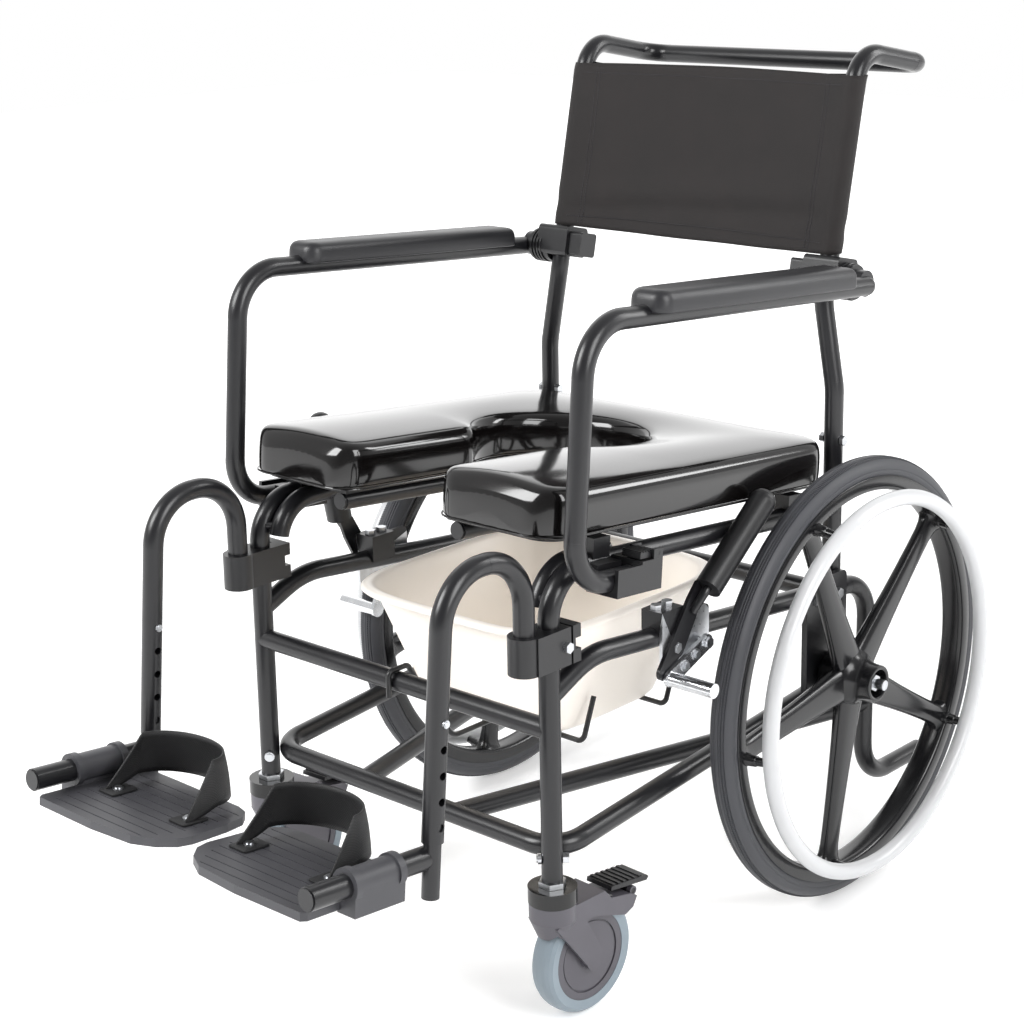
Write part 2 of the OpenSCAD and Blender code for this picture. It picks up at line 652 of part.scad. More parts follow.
// Lock bracket on the side tube, with both pivot pins.
function block_top() = side_z(lock_at[1]) + tr + 21;
module lock_bracket() {
    difference() {
        union() {
            plate_x(lock_x0, lock_x0 + 4, lock_at[1] - 20, shoe_at[1] + 16, lock_at[2] - 22,
                block_top() - 8, 7);
            translate([frame_x - 13, lock_at[1] - 20, side_z(lock_at[1])])
                cube([lock_x0 + 4 - frame_x + 13, 36, block_top() - side_z(lock_at[1])]);
        }
        side_line(tube_d + 2 * fixed_gap);
        translate([frame_x - 20, lock_at[1] - 30, side_z(lock_at[1]) - 20])
            cube([lock_x0 - frame_x + 20, 60, 21]);
    }
    for (p = [lock_at, shoe_at]) {
        e = p == lock_at ? lever_x0 + 4.5 : shoe_x0 + 4.5;
        rod([lock_x0 + 3, p[1], p[2]], [e + 1.5, p[1], p[2]], 8);
        hex([e + move_gap, p[1], p[2]], [1, 0, 0], p == lock_at ? 0.6 : 3.5, 6.5);
    }
}

// Seat

module seat_frame() { translate([0, seat_y,
    seat_z(seat_y) + pad_lift / cos(seat_tilt)]) rotate([-seat_tilt, 0, 0]) children(); }

// Inner and outer edge of the pad at step i of the half ring, from the front slot to the back.
pad_front = [0, 2, 7, 15, 26, 45, 80, 120, 160];
pad_steps = 15;
hole_start = -acos(slot_half / hole_half);
function rounded(y, r) = y >= r ? 0 : r - sqrt(r * r - (r - y) * (r - y));
neck_y = hole_mid + hole_len * sin(hole_start);
side_run = seat_len - pad_corner - neck_y;
arc_run = pad_corner * PI / 2;
back_run = seat_half - pad_corner;
function outer_at(w) = let (d = w * (side_run + arc_run + back_run))
    d < side_run ? [seat_half, neck_y + d]
    : d < side_run + arc_run
        ? let (q = 90 * (d - side_run) / arc_run)
          [seat_half - pad_corner * (1 - cos(q)), seat_len - pad_corner * (1 - sin(q))]
        : [seat_half - pad_corner - (d - side_run - arc_run), seat_len];
function edges(i) = i < len(pad_front)
    ? let (y = pad_front[i]) [[slot_half + rounded(y, slot_corner), y], [seat_half - rounded(y,
        pad_corner), y]]
    : let (w = (i - len(pad_front)) / pad_steps, q = hole_start + (90 - hole_start) * w)
      [[hole_half * cos(q), hole_mid + hole_len * sin(q)], outer_at(w)];
half = len(pad_front) + pad_steps;
function ring_edges(i) = i <= half ? edges(i) : let (e = edges(2 * half - i)) [[-e[0][0], e[0][1]],
    [-e[1][0], e[1][1]]];
rings = 2 * half + 1;
function lip(i) = let (k = min(i, rings - 1 - i)) k == 0 ? 0.45 : k == 1 ? 0.72 : k == 2 ? 0.93 : 1;

// A closed ring-shaped solid over the seat plan; prof gives [inset from inner, inset from outer, z].
module seat_ring(prof) {
    m = len(prof);
    pts = [for (i = [0:rings - 1]) let (e = ring_edges(i), w = norm(e[1] - e[0]), u = (e[1] - e[0]) / w)
        for (k = [0:m - 1]) let (f = prof[k][0], d = prof[k][1], q = e[0] + u * (f * w + d)) [q[0],
            q[1], prof[k][2] * lip(i) + (1 - lip(i)) * prof[k][3]]];
    faces = concat(
        [for (i = [0:rings - 2], k = [0:m - 1], q = [0, 1]) let (a = i * m + k, b = i * m + (k + 1) % m)
            q == 0 ? [a, b, a + m] : [b, b + m, a + m]],
        [for (k = [0:m - 3]) [m - 1, k + 1, k]],
        [for (k = [0:m - 3]) let (o = (rings - 1) * m) [o + m - 1, o + k, o + k + 1]]);
    polyhedron(pts, faces);
}

// Padded keyhole seat with a crown and drawn-in sides.
module seat_pad() color("#19191b") placed() seat_frame() {
    t = pad_t;
    mid = pad_t * 0.45;
    seat_ring([[0, 5, 0, mid], [0, 1.2, t * 0.15, mid], [0, 0, t * 0.45, mid], [0, 1.8, t * 0.72, mid],
        [0, 7, t * 0.92, mid],
        [0.14, 6, t + pad_crown * 0.35, mid], [0.33, 0, t + pad_crown * 0.9, mid], [0.5, 0,
            t + pad_crown, mid],
        [0.67, 0, t + pad_crown * 0.9, mid], [0.86, -6, t + pad_crown * 0.35, mid],
        [1, -7, t * 0.92, mid], [1, -1.8, t * 0.72, mid], [1, 0, t * 0.45, mid], [1, -1.2, t * 0.15, mid],
        [1, -5, 0, mid], [0.5, 0, 0, mid]]);
}

// Board under the pad.
module seat_board() color("#202022") placed() seat_frame() difference() {
    r = pad_corner - board_in;
    translate([-seat_half + board_in, board_in, -board_t - fixed_gap]) union() {
        translate([r, 0, 0]) cube([2 * seat_half - 2 * pad_corner, seat_len - 2 * board_in, board_t]);
        translate([0, r, 0]) cube([2 * seat_half - 2 * board_in, seat_len - 2 * pad_corner, board_t]);
        for (x = [r, 2 * seat_half - pad_corner - board_in], y = [r, seat_len - pad_corner - board_in])
            translate([x, y, 0]) cylinder(r = r, h = board_t);
    }
    translate([-slot_half - board_in, -1, -board_t - 1])
        cube([2 * slot_half + 2 * board_in, hole_mid, board_t + 2]);
    translate([0, hole_mid, -board_t - 1]) cylinder(r = hole_half + board_in, h = board_t + 2);
}

// Two round rails under the board, with front plugs.
module seat_rails() color("#2b2b2e") placed() seat_frame() for (s = [-1, 1]) {
    rod([s * rail_x, 19, rail_z], [s * rail_x, hole_mid - hole_len - 6, rail_z], rail_d);
    rod([s * rail_x, 16, rail_z], [s * rail_x, 20, rail_z], rail_d - 2);
}

// Saddles that rest on the seat tubes.
module seat_clips() color("#1f1f21") placed() seat_frame()
    for (s = [-1, 1], y = [seat_len * 0.14, seat_len * 0.83]) difference() {
        translate([s * frame_x - tr + 1, y, -pad_lift + 6])
            cube([tube_d - 2, clip_len, pad_lift - 6 - board_t - 2 * fixed_gap]);
        rod([s * frame_x, y - 1, -pad_lift], [s * frame_x, y + clip_len + 1, -pad_lift],
            tube_d + 2 * move_gap);
    }

// Lift-out pan, a tapered tub with a rolled lip.
module commode_pan() color("#e9e2cc") placed() pan_tub();
module pan_tub() {
    n = 44;
    w = pan_wall;
    function grow(z) = pan_base + (pan_half - pan_base) * z / pan_h;
    stretch = pan_len - pan_half;
    // Each level is [half width, height]; the outside goes up, then the inside goes down.
    levels = [[pan_base - 9, 0], [pan_base - 2, 2.5], [grow(9), 9], [grow(pan_h * 0.5), pan_h * 0.5],
        [grow(pan_h - 9), pan_h - 9], [pan_half + 7, pan_h - 8], [pan_half + 9, pan_h - 4.5],
            [pan_half + 7, pan_h - 1],
        [pan_half + 2, pan_h], [pan_half - w, pan_h - 2.5], [grow(pan_h - 9) - w, pan_h - 9],
            [grow(pan_h * 0.5) - w, pan_h * 0.5],
        [grow(12) - w - 2, 12], [pan_base - 11, w]];
    function se(a, p) = sign(a) * pow(abs(a), p);
    pts = [for (l = levels, k = [0:n - 1]) let (a = 360 * k / n, p = 0.52, e = max(0,
        stretch * (l[0] - pan_base) / (pan_half - pan_base)))
        [l[0] * se(cos(a), p), pan_y + (l[0] + e) * se(sin(a), p), pan_z + l[1]]];
    m = len(levels);
    faces = concat(
        [for (i = [0:m - 2], k = [0:n - 1], q = [0, 1]) let (a = i * n + k, b = i * n + (k + 1) % n)
            q == 0 ? [a, a + n, b] : [b, a + n, b + n]],
        [for (k = [1:n - 2]) [0, k, k + 1]],
        [for (k = [1:n - 2]) let (o = (m - 1) * n) [o, o + k + 1, o + k]]);
    polyhedron(pts, faces);
}

// Armrests

module arm_tube() {
    bent_tube([[arm_x, pivot[1] - 2, arm_z(pivot[1] - 2)], [arm_x, arm_y, arm_front_z], [arm_x,
        arm_low_y, arm_low_z],
        [arm_x, arm_end_y, arm_run_z(arm_end_y)]], [55, 48], tube_d);
    dome([arm_x, pivot[1] - 2, arm_z(pivot[1] - 2)], [0, cos(arm_tilt), -sin(arm_tilt)],
        tube_d + bend_swell);
    rod([block_x1 + move_gap, pivot[1], pivot[2]], [arm_x, pivot[1], pivot[2]], 30);
    rod([block_x1 - 21, pivot[1], pivot[2]], [arm_x, pivot[1], pivot[2]], 2 * arm_pin_r);
}

// Moulded pad over the arm tube.
module arm_pad() translate([arm_x, pad_end_y, arm_z(pad_end_y)]) rotate([-arm_tilt, 0, 0]) {
    h = arm_pad_w / 2;
    t = arm_pad_top;
    difference() {
        intersection() {
            translate([0, -arm_pad_len, 0]) rotate([90, 0, 180]) linear_extrude(height = arm_pad_len)
                polygon([[-h + 3, 4], [-h + 0.5, 7], [-h, 12], [-h + 1, 18], [-h + 4, t - 4], [-h + 9,
                    t - 1.4], [-8, t],
                    [8, t], [h - 9, t - 1.4], [h - 4, t - 4], [h - 1, 18], [h, 12], [h - 0.5, 7],
                        [h - 3, 4]]);
            union() {
                translate([-h, -arm_pad_len + h - 4, 0]) cube([2 * h, arm_pad_len - 2 * h + 8, t + 5]);
                for (y = [-arm_pad_len + h - 4, -h + 4])
                    translate([0, y, 0]) scale([1, (h - 4) / h, 1]) cylinder(r = h, h = t + 5);
            }
        }
        rod([0, -arm_pad_len - 1, 0], [0, 1, 0], tube_d + 0.3);
    }
}

// Footrests

module hanger(hole_side) difference() {
    bent_tube([[hanger_x, hanger_y, clamp_z + 5 + move_gap], [hanger_x, hanger_y, hanger_top_z],
        hanger_front, hanger_tip],
        [hanger_bend_r, hanger_bend_r], tube_d);
    rod(hanger_tip + lean_dir, hanger_tip - lean_dir * (ext_in + 4), ext_d + 2 * run_gap);
    for (k = [0:4]) let (p = button_at + lean_dir * hole_pitch * k)
        rod(p, p + [hole_side * 20, 0, 0], button_d + 2 * run_gap);
}

module snap_button(hole_side) {
    rod(button_at + [hole_side * (ext_d / 2 + move_gap), 0, 0], button_at + [hole_side * (tr + 2), 0,
        0], button_d);
    rod(button_at + [hole_side * (tr + 1.9), 0, 0], button_at + [hole_side * (tr + 3.2), 0, 0],
        button_d - 2);
}

// Sliding extension with the bar that carries the footplate.
module extension(hole_side) {
    difference() {
        rod(hanger_tip - lean_dir * ext_in, hanger_tip + lean_dir * ext_out, ext_d);
        for (k = [0:3]) let (p = button_at + lean_dir * hole_pitch * k)
            rod(p, p + [hole_side * 20, 0, 0], button_d + 2 * move_gap + 0.2);
    }
    foot_frame() {
        rod([0, 0, 0], [0, -bar_len + 1.5, 0], bar_d);
        rod([0, -bar_len + 2, 0], [0, -bar_len, 0], bar_d - 3);
    }
}

module foot_frame() { translate(bar_at) rotate([-plate_rise, 0, 0]) children(); }

// Flip-up footplate with its barrel, skirt and grooved top.
module footplate() foot_frame() {
    top = -plate_drop;
    inner = -foot_w;
    difference() {
        union() {
            translate([0, 0, top - foot_t]) linear_extrude(height = foot_t)
                polygon([[-6, -150], [-10, -156], [-100, -158], [inner + 42, -153], [inner + 18, -140],
                    [inner + 4, -124], [inner, -108],
                    [inner + 3, -60], [inner + 8, -36], [inner + 18, -24], [inner + 34, -19], [-60,
                        -17], [-14, -17], [-8, -23], [-6, -45]]);
            translate([-9, -110, top - foot_t - 3]) cube([24, 16, foot_t + 20]);
            translate([2, -95, top - foot_t - 3]) cube([13, 50, foot_t + 20]);
            translate([-9, -95, top - foot_t]) cube([22, 50, foot_t + 14]);
            rod([0, -110, 0], [0, -45, 0], bar_d + 6.5);
            for (y = [-110, -53]) rod([0, y, 0], [0, y + 8, 0], bar_d + 11);
        }
        rod([0, -200, 0], [0, 20, 0], bar_d + 2 * run_gap);
        for (k = [0:8]) translate([inner + 14 + 2.6 * max(0, 4 - k) * max(0, 4 - k) / 2,
            -146 + 13.6 * k, top - 1])
            cube([foot_w - 38 - 2.6 * max(0, 4 - k) * max(0, 4 - k) / 2, 1.4, 3]);
    }
}

// Webbing loop behind the heel, with its folded ends and screws.
module heel_loop() foot_frame() loop_band();
module loop_band() {
    n = 40;
    t = 2.6;
    top = -plate_drop + move_gap;
    in_x = -foot_w + 30;
    out_x = -42;
    mid = (in_x + out_x) / 2;
    r = (out_x - in_x) / 2;
    heel_y = -64;
    run = 108 + heel_y;
    total = 2 * run + PI * r * 0.82;
    // Plan of the band: straight in, round the heel, straight out.
    function plan(s) = s < run ? [in_x, -108 + s] : s > total - run ? [out_x, -108 + total - s]
        : let (q = 180 * (s - run) / (total - 2 * run)) [mid - r * cos(q), heel_y + 0.74 * r * sin(q)];
    function away(s) = let (a = plan(max(0, s - 1)), b = plan(min(total, s + 1)),
        v = (b - a) / norm(b - a)) [v[1], -v[0]];
    function rise(s) = min(1, max(0, min(s, total - s) / 40));
    function low(s) = 9 * rise(s) * rise(s);
    pts = [for (i = [0:n]) let (s = total * i / n, p = plan(s), v = away(s), b = top + low(s),
        h = 2.6 + (loop_h - 2.6) * rise(s),
            lean = 5 * rise(s))
        for (c = [[0, 0], [1, 0], [1, 1], [0, 1]])
            [p[0] - v[0] * (t * c[0] - lean * c[1] * 0.4),
                p[1] - v[1] * (t * c[0] - lean * c[1] * 0.4), b + h * c[1]]];
    faces = concat(
        [for (i = [0:n - 1], k = [0:3], q = [0, 1]) let (a = i * 4 + k, b = i * 4 + (k + 1) % 4)
            q == 0 ? [a, a + 4, b] : [b, a + 4, b + 4]],
        [[0, 1, 2], [0, 2, 3]], [let (o = n * 4) [o, o + 2, o + 1], let (o = n * 4) [o, o + 3, o + 2]]);
    polyhedron(pts, faces);
    for (x = [in_x, out_x]) {
        s = x == in_x ? 1 : -1;
        translate([x + s * 12 - 13, -112, top]) cube([26, 34, 2.2]);
        translate([x + s * 14, -95, top + 2]) cylinder(r = 5, h = 3);
    }
}

// Wheel locks

module lock_lever() {
    a = lock_at;
    difference() {
        union() {
            prism_x(lever_x0, lever_x0 + 4.5, [[a[1] - 29, a[2] - 16], [a[1] - 17, a[2] - 28],
                [a[1] + 12, a[2] - 4],
                [a[1] + 36, a[2] + 33], [grip_low(-10)[1], grip_low(-10)[2]], [grip_low(10)[1],
                    grip_low(10)[2]],
                [a[1] + 20, a[2] + 50], [a[1] - 11, a[2] + 8]]);
            rod([lever_x0, a[1], a[2]], [lever_x0 + 4.5, a[1], a[2]], 24);
            rod([lever_x0, a[1] - 23, a[2] - 22], [lever_x0 + 4.5, a[1] - 23, a[2] - 22], 17);
            bent_tube([[lever_x0 + 5.2, a[1] + 24, a[2] + 34], grip_from(),
                grip_from() + grip_dir * (grip_len - 20)], [16], 9.6);
        }
        rod([lever_x0 - 1, a[1], a[2]], [lever_x0 + 6, a[1], a[2]], 8 + 2 * run_gap);
    }
}
grip_dir = unit([0, 113, 86]);
// A point beside the foot of the grip, in the plane of the lever.
function grip_low(side) = grip_from() + grip_dir * 5.2 + side * [0, -grip_dir[2], grip_dir[1]];
function grip_from() = [grip_x, lock_at[1] + 37, lock_at[2] + 54.5];
module lock_grip() difference() {
    union() {
        rod(grip_from() + grip_dir * 5.5, grip_from() + grip_dir * (grip_len - grip_r), 2 * grip_r);
        dome(grip_from() + grip_dir * (grip_len - grip_r), grip_dir, 2 * grip_r + bend_swell);
    }
    rod(grip_from(), grip_from() + grip_dir * (grip_len - 20 + fixed_gap), 10 + 2 * fixed_gap);
}

// Link and round bar that press on the tyre.
module lock_shoe() {
    b = shoe_at;
    e = shoe_at + shoe_arm;
    u = unit(shoe_arm);
    n = [0, -u[2], u[1]];
    q = [b + n * 9, e + n * 9, e - n * 9, b - n * 9];
    difference() {
        union() {
            prism_x(shoe_x0, shoe_x0 + 4.5, [for (p = q) [p[1], p[2]]]);
            rod([shoe_x0, b[1], b[2]], [shoe_x0 + 4.5, b[1], b[2]], 18);
            rod([shoe_x0, e[1], e[2]], [shoe_x0 + 4.5, e[1], e[2]], 18);
            rod([shoe_x0, e[1], e[2]], [shoe_x0 + shoe_len, e[1], e[2]], 2 * shoe_r);
        }
        rod([shoe_x0 - 1, b[1], b[2]], [shoe_x0 + 6, b[1], b[2]], 8 + 2 * run_gap);
    }
}

// Rear wheels

module wheel() {
    w = tyre_d / 2;
    in_r = tyre_r - w - rim_depth;
    bed_r = w + fixed_gap + 0.2;
    // Rim with a round bed for the tyre.
    turned_x(axle_z, concat([[tyre_r - 6, wheel_x + w], [in_r + 4, wheel_x + w], [in_r, wheel_x + w - 4],
        [in_r, wheel_x - w + 4], [in_r + 4, wheel_x - w], [tyre_r - 6, wheel_x - w]],
        [for (q = [-66:12:66]) [tyre_r - bed_r * cos(q), wheel_x + bed_r * sin(q)]]));
    turned_x(axle_z, [[axle_r + run_gap, hub_x0], [hub_r - 2, hub_x0], [hub_r, hub_x0 + 2],
        [hub_r, wheel_x - 14], [hub_r + 12, wheel_x - 8], [hub_r + 12, wheel_x + 8],
        [hub_r + 2, wheel_x + 16], [hub_r, hub_x1 - 2], [hub_r - 2, hub_x1], [hub_r - 7, hub_x1],
        [hub_r - 7, hub_x1 - 14], [axle_r + run_gap, hub_x1 - 14]]);
    for (k = [0:spokes - 1])
        translate([0, 0, axle_z]) rotate([spoke_turn + 360 / spokes * k, 0, 0]) {
            prism_x(wheel_x - spoke_t / 2, wheel_x + spoke_t / 2, [[hub_r - 2, -10], [hub_r + 12,
                -spoke_hub_w / 2],
                [hub_r + 60, -spoke_hub_w / 2 + 5], [in_r + 2, -spoke_rim_w / 2], [in_r + 2,
                    spoke_rim_w / 2],
                [hub_r + 60, spoke_hub_w / 2 - 5], [hub_r + 12, spoke_hub_w / 2], [hub_r - 2, 10]]);
            // Tab that carries the hand rim, hollowed to fit it.
            difference() {
                translate([wheel_x + 4, handrim_r - 6, -9])
                    cube([handrim_out - 8, in_r + 12 - handrim_r, 18]);
                rod([handrim_x, handrim_r, -12], [handrim_x, handrim_r, 12],
                    handrim_d + 2 * fixed_gap + 0.4);
            }
        }
}
module tyre() translate([wheel_x, 0, axle_z]) rotate([0, 90, 0]) rotate_extrude() translate([tyre_r,
    0]) circle(d = tyre_d);
module handrim() translate([handrim_x, 0, axle_z]) rotate([0, 90,
    0]) rotate_extrude() translate([handrim_r, 0]) circle(d = handrim_d);

// Casters

module caster_frame() { translate([frame_x, leg_y, 0]) rotate([0, 0, -caster_turn]) children(); }
cr = caster_d / 2;
ct = caster_trail;
pedal_z = leg_foot_z - 54;
arm_in = caster_w / 2 + 2;
module caster_fork() caster_frame() difference() {
    union() {
        translate([0, 0, leg_foot_z - 34]) cylinder(r = 26, h = 17 - move_gap);
        translate([0, 0, leg_foot_z - 53]) cylinder(r = 25, h = 19.5);
        translate([0, 0, leg_foot_z - 72]) cylinder(r1 = 17, r2 = 25, h = 19);
        for (s = [-1, 1]) {
            x0 = s > 0 ? arm_in : -arm_in - 4.5;
            prism_x(x0, x0 + 4.5, [[-15, leg_foot_z - 56], [20, leg_foot_z - 44], [ct + 13, cr + 2],
                [ct + 6, cr - 11], [ct - 6, cr - 11], [ct - 13, cr - 3]]);
            rod([x0, ct, cr], [x0 + 4.5, ct, cr], 26);
        }
        prism_x(-arm_in - 4.5, arm_in + 4.5, [[0, leg_foot_z - 60], [0, leg_foot_z - 38], [30,
            leg_foot_z - 37], [56, leg_foot_z - 36.5],
            [66, pedal_z - 1 + 7], [94, pedal_z + 1], [ct + 64, pedal_z - 5],
            [ct + 58, pedal_z - 16], [ct + 46, pedal_z - 21], [ct, leg_foot_z - 60]]);
        for (s = [-1, 1]) rod([s * 15 - 3, ct + 61.7, pedal_z], [s * 15 + 3, ct + 61.7, pedal_z], 10);
        rod([-arm_in - 4.5, ct, cr], [arm_in + 4.5, ct, cr], 2 * caster_axle_r);
    }
    difference() {
        rod([-arm_in, ct, cr], [arm_in, ct, cr], caster_d + 7);
        rod([-arm_in - 1, ct, cr], [arm_in + 1, ct, cr], 2 * caster_axle_r);
    }
    translate([0, 0, leg_foot_z - 80]) cylinder(r = stem_r + run_gap, h = 80);
    rod([-30, ct + 61.7, pedal_z], [30, ct + 61.7, pedal_z], 6 + 2 * run_gap);
    translate([-11.8, ct + 55, pedal_z - 7]) cube([23.6, 20, 20]);
}
module caster_wheel() caster_frame() translate([0, ct, 0])
    turned_x(cr, [[caster_axle_r + run_gap, -arm_in + move_gap], [14, -arm_in + move_gap], [14, -13],
        [38, -12], [38, -11], [40, -11], [40, -13], [cr - 15.4, -13],
        [cr - 15.4, 13], [40, 13], [40, 11], [38, 11], [38, 12], [14, 13], [14, arm_in - move_gap],
            [caster_axle_r + run_gap, arm_in - move_gap]]);
module caster_tread() caster_frame() translate([0, ct, 0])
    turned_x(cr, [[cr - 15.3, -caster_w / 2 + 1.5], [cr - 6, -caster_w / 2], [cr - 2.6,
        -caster_w / 2 + 3], [cr - 0.7, -caster_w / 2 + 7], [cr, -4],
        [cr, 4], [cr - 0.7, caster_w / 2 - 7], [cr - 2.6, caster_w / 2 - 3], [cr - 6, caster_w / 2],
            [cr - 15.3, caster_w / 2 - 1.5]]);

// Ribbed brake pedal.
module caster_pedal() caster_frame() {
    p = [0, ct + 61.7, pedal_z];
    prism_x(-18, 18, [[p[1] - 34, p[2] + 11.5], [p[1] - 33, p[2] + 16], [p[1] + 21, p[2] + 11],
        [p[1] + 24, p[2] + 8.5], [p[1] + 21, p[2] + 5]]);
    for (k = [0:5]) prism_x(-17, 17, [[p[1] - 30 + 8 * k, p[2] + 14.5 - 0.74 * k], [p[1] - 30 + 8 * k,
        p[2] + 17.2 - 0.74 * k],
        [p[1] - 26 + 8 * k, p[2] + 16.8 - 0.74 * k], [p[1] - 26 + 8 * k, p[2] + 13.5 - 0.74 * k]]);
    prism_x(-11.5, 11.5, [[p[1] - 5, p[2] - 3], [p[1] - 5, p[2] + 10], [p[1] + 5, p[2] + 9], [p[1] + 5,
        p[2] - 3]]);
    rod(p - [17.5, 0, 0], p + [17.5, 0, 0], 6);
}

// Nodes

module left_side_frame() color("#2b2b2e") placed() side_frame();
module right_side_frame() color("#2b2b2e") placed() side(-1) side_frame();
module left_arm_block() color("#1c1c1e") placed() arm_block();
module right_arm_block() color("#1c1c1e") placed() side(-1) arm_block();
module left_arm_clip() color("#1c1c1e") placed() arm_clip();
module right_arm_clip() color("#1c1c1e") placed() side(-1) arm_clip();
module left_footrest_clamp() color("#1c1c1e") placed() footrest_clamp();
module right_footrest_clamp() color("#1c1c1e") placed() side(-1) footrest_clamp();
module left_lock_bracket() color("#a9abae") placed() lock_bracket();
module right_lock_bracket() color("#a9abae") placed() side(-1) lock_bracket();
module left_arm_tube() color("#2b2b2e") placed() arm_tube();
module right_arm_tube() color("#2b2b2e") placed() side(-1) arm_tube();
module left_arm_pad() color("#1a1a1c") placed() arm_pad();
module right_arm_pad() color("#1a1a1c") placed() side(-1) arm_pad();
module left_arm_latch() color("#141415") placed() arm_latch();
module right_arm_latch() color("#141415") placed() side(-1) arm_latch();
module left_hanger() color("#2b2b2e") placed() hanger(1);
module right_hanger() color("#2b2b2e") placed() side(-1) hanger(-1);
module left_snap_button() color("#c3c5c8") placed() snap_button(1);
module right_snap_button() color("#c3c5c8") placed() side(-1) snap_button(-1);
module left_extension() color("#2b2b2e") placed() extension(1);
module right_extension() color("#2b2b2e") placed() side(-1) extension(-1);
module left_footplate() color("#2a2a2d") placed() footplate();
module right_footplate() color("#2a2a2d") placed() side(-1) footplate();
module left_heel_loop() color("#17171a") placed() heel_loop();
module right_heel_loop() color("#17171a") placed() side(-1) heel_loop();
module left_lock_lever() color("#a9abae") placed() lock_lever();
module right_lock_lever() color("#a9abae") placed() side(-1) turned_about(lock_at,
    lock_travel) lock_lever();
module left_lock_grip() color("#161617") placed() lock_grip();
module right_lock_grip() color("#161617") placed() side(-1) turned_about(lock_at, lock_travel) lock_grip();
module left_lock_shoe() color("#d5d7da") placed() lock_shoe();
module right_lock_shoe() color("#d5d7da") placed() side(-1) turned_about(shoe_at,
    lock_travel * lock_ratio) lock_shoe();
module left_wheel() color("#202022") placed() wheel();
module right_wheel() color("#202022") placed() side(-1) wheel();
module left_tyre() color("#37373a") placed() tyre();
module right_tyre() color("#37373a") placed() side(-1) tyre();
module left_handrim() color("#f0f0ee") placed() handrim();
module right_handrim() color("#f0f0ee") placed() side(-1) handrim();
module left_caster_fork() color("#4a4850") placed() caster_fork();
module right_caster_fork() color("#4a4850") placed() side(-1) caster_fork();
module left_caster_wheel() color("#514f56") placed() caster_wheel();
module right_caster_wheel() color("#514f56") placed() side(-1) caster_wheel();
module left_caster_tread() color("#a4b0b8") placed() caster_tread();
module right_caster_tread() color("#a4b0b8") placed() side(-1) caster_tread();
module left_caster_pedal() color("#1d1c1f") placed() caster_pedal();
module right_caster_pedal() color("#1d1c1f") placed() side(-1) caster_pedal();

left_side_frame();
right_side_frame();
crossbars();
lower_frame();
back_frame();
back_sling();
axle_plates();
axles();
frame_bolts();
caster_stems();
left_arm_block();
right_arm_block();
left_arm_clip();
right_arm_clip();
left_footrest_clamp();
right_footrest_clamp();
pan_carrier();
left_lock_bracket();
right_lock_bracket();
seat_pad();
seat_board();
seat_rails();
seat_clips();
commode_pan();
left_arm_tube();
right_arm_tube();
left_arm_pad();
right_arm_pad();
left_arm_latch();
right_arm_latch();
left_hanger();
right_hanger();
left_snap_button();
right_snap_button();
left_extension();
right_extension();
left_footplate();
right_footplate();
left_heel_loop();
right_heel_loop();
left_lock_lever();
right_lock_lever();
left_lock_grip();
right_lock_grip();
left_lock_shoe();
right_lock_shoe();
left_wheel();
right_wheel();
left_tyre();
right_tyre();
left_handrim();
right_handrim();
left_caster_fork();
right_caster_fork();
left_caster_wheel();
right_caster_wheel();
left_caster_tread();
right_caster_tread();
left_caster_pedal();
right_caster_pedal();
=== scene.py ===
import math

import bpy
import bmesh
from mathutils import Matrix, Vector


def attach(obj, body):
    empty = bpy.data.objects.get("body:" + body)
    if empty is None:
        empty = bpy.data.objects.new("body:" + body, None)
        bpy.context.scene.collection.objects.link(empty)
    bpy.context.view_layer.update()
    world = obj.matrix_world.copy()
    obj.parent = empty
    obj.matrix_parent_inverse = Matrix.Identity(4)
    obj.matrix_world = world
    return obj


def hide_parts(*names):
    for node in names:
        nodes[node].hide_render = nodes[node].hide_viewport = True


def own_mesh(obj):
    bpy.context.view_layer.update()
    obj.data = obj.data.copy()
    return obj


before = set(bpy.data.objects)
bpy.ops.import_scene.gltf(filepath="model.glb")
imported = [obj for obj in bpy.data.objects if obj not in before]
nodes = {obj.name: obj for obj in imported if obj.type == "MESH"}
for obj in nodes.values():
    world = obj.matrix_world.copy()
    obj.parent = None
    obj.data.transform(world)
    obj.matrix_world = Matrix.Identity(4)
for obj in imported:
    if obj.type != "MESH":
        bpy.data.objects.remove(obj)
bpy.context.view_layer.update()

# Sizes are in millimetres, measured from the rear axle along Y as in the part's source.
AXLE_Y = 268.754
SIDES = (("left", 1), ("right", -1))


def at(x, y, z):
    """A point given in millimetres from the rear axle, in the scene's metres."""
    return Vector((x / 1000, (y + AXLE_Y) / 1000, z / 1000))


# Materials

def linear(code):
    """The linear colour of an sRGB hex value."""
    parts = [int(code[i:i + 2], 16) / 255 for i in (1, 3, 5)]
    return [c / 12.92 if c <= 0.04045 else ((c + 0.055) / 1.055) ** 2.4 for c in parts] + [1.0]


def add(tree, kind, inputs=None, **settings):
    """Adds a node; an input is given a value or is linked to another node's output."""
    node = tree.nodes.new(kind)
    for name, value in settings.items():
        setattr(node, name, value)
    for name, value in (inputs or {}).items():
        if isinstance(value, bpy.types.NodeSocket):
            tree.links.new(value, node.inputs[name])
        else:
            node.inputs[name].default_value = value
    return node


def finish_named(name, **sockets):
    """A new material with its shader's plain values set; gives the material, its tree and shader."""
    material = bpy.data.materials.new(name)
    material.use_nodes = True
    shader = material.node_tree.nodes["Principled BSDF"]
    for socket, value in sockets.items():
        shader.inputs[socket.replace("_", " ")].default_value = value
    return material, material.node_tree, shader


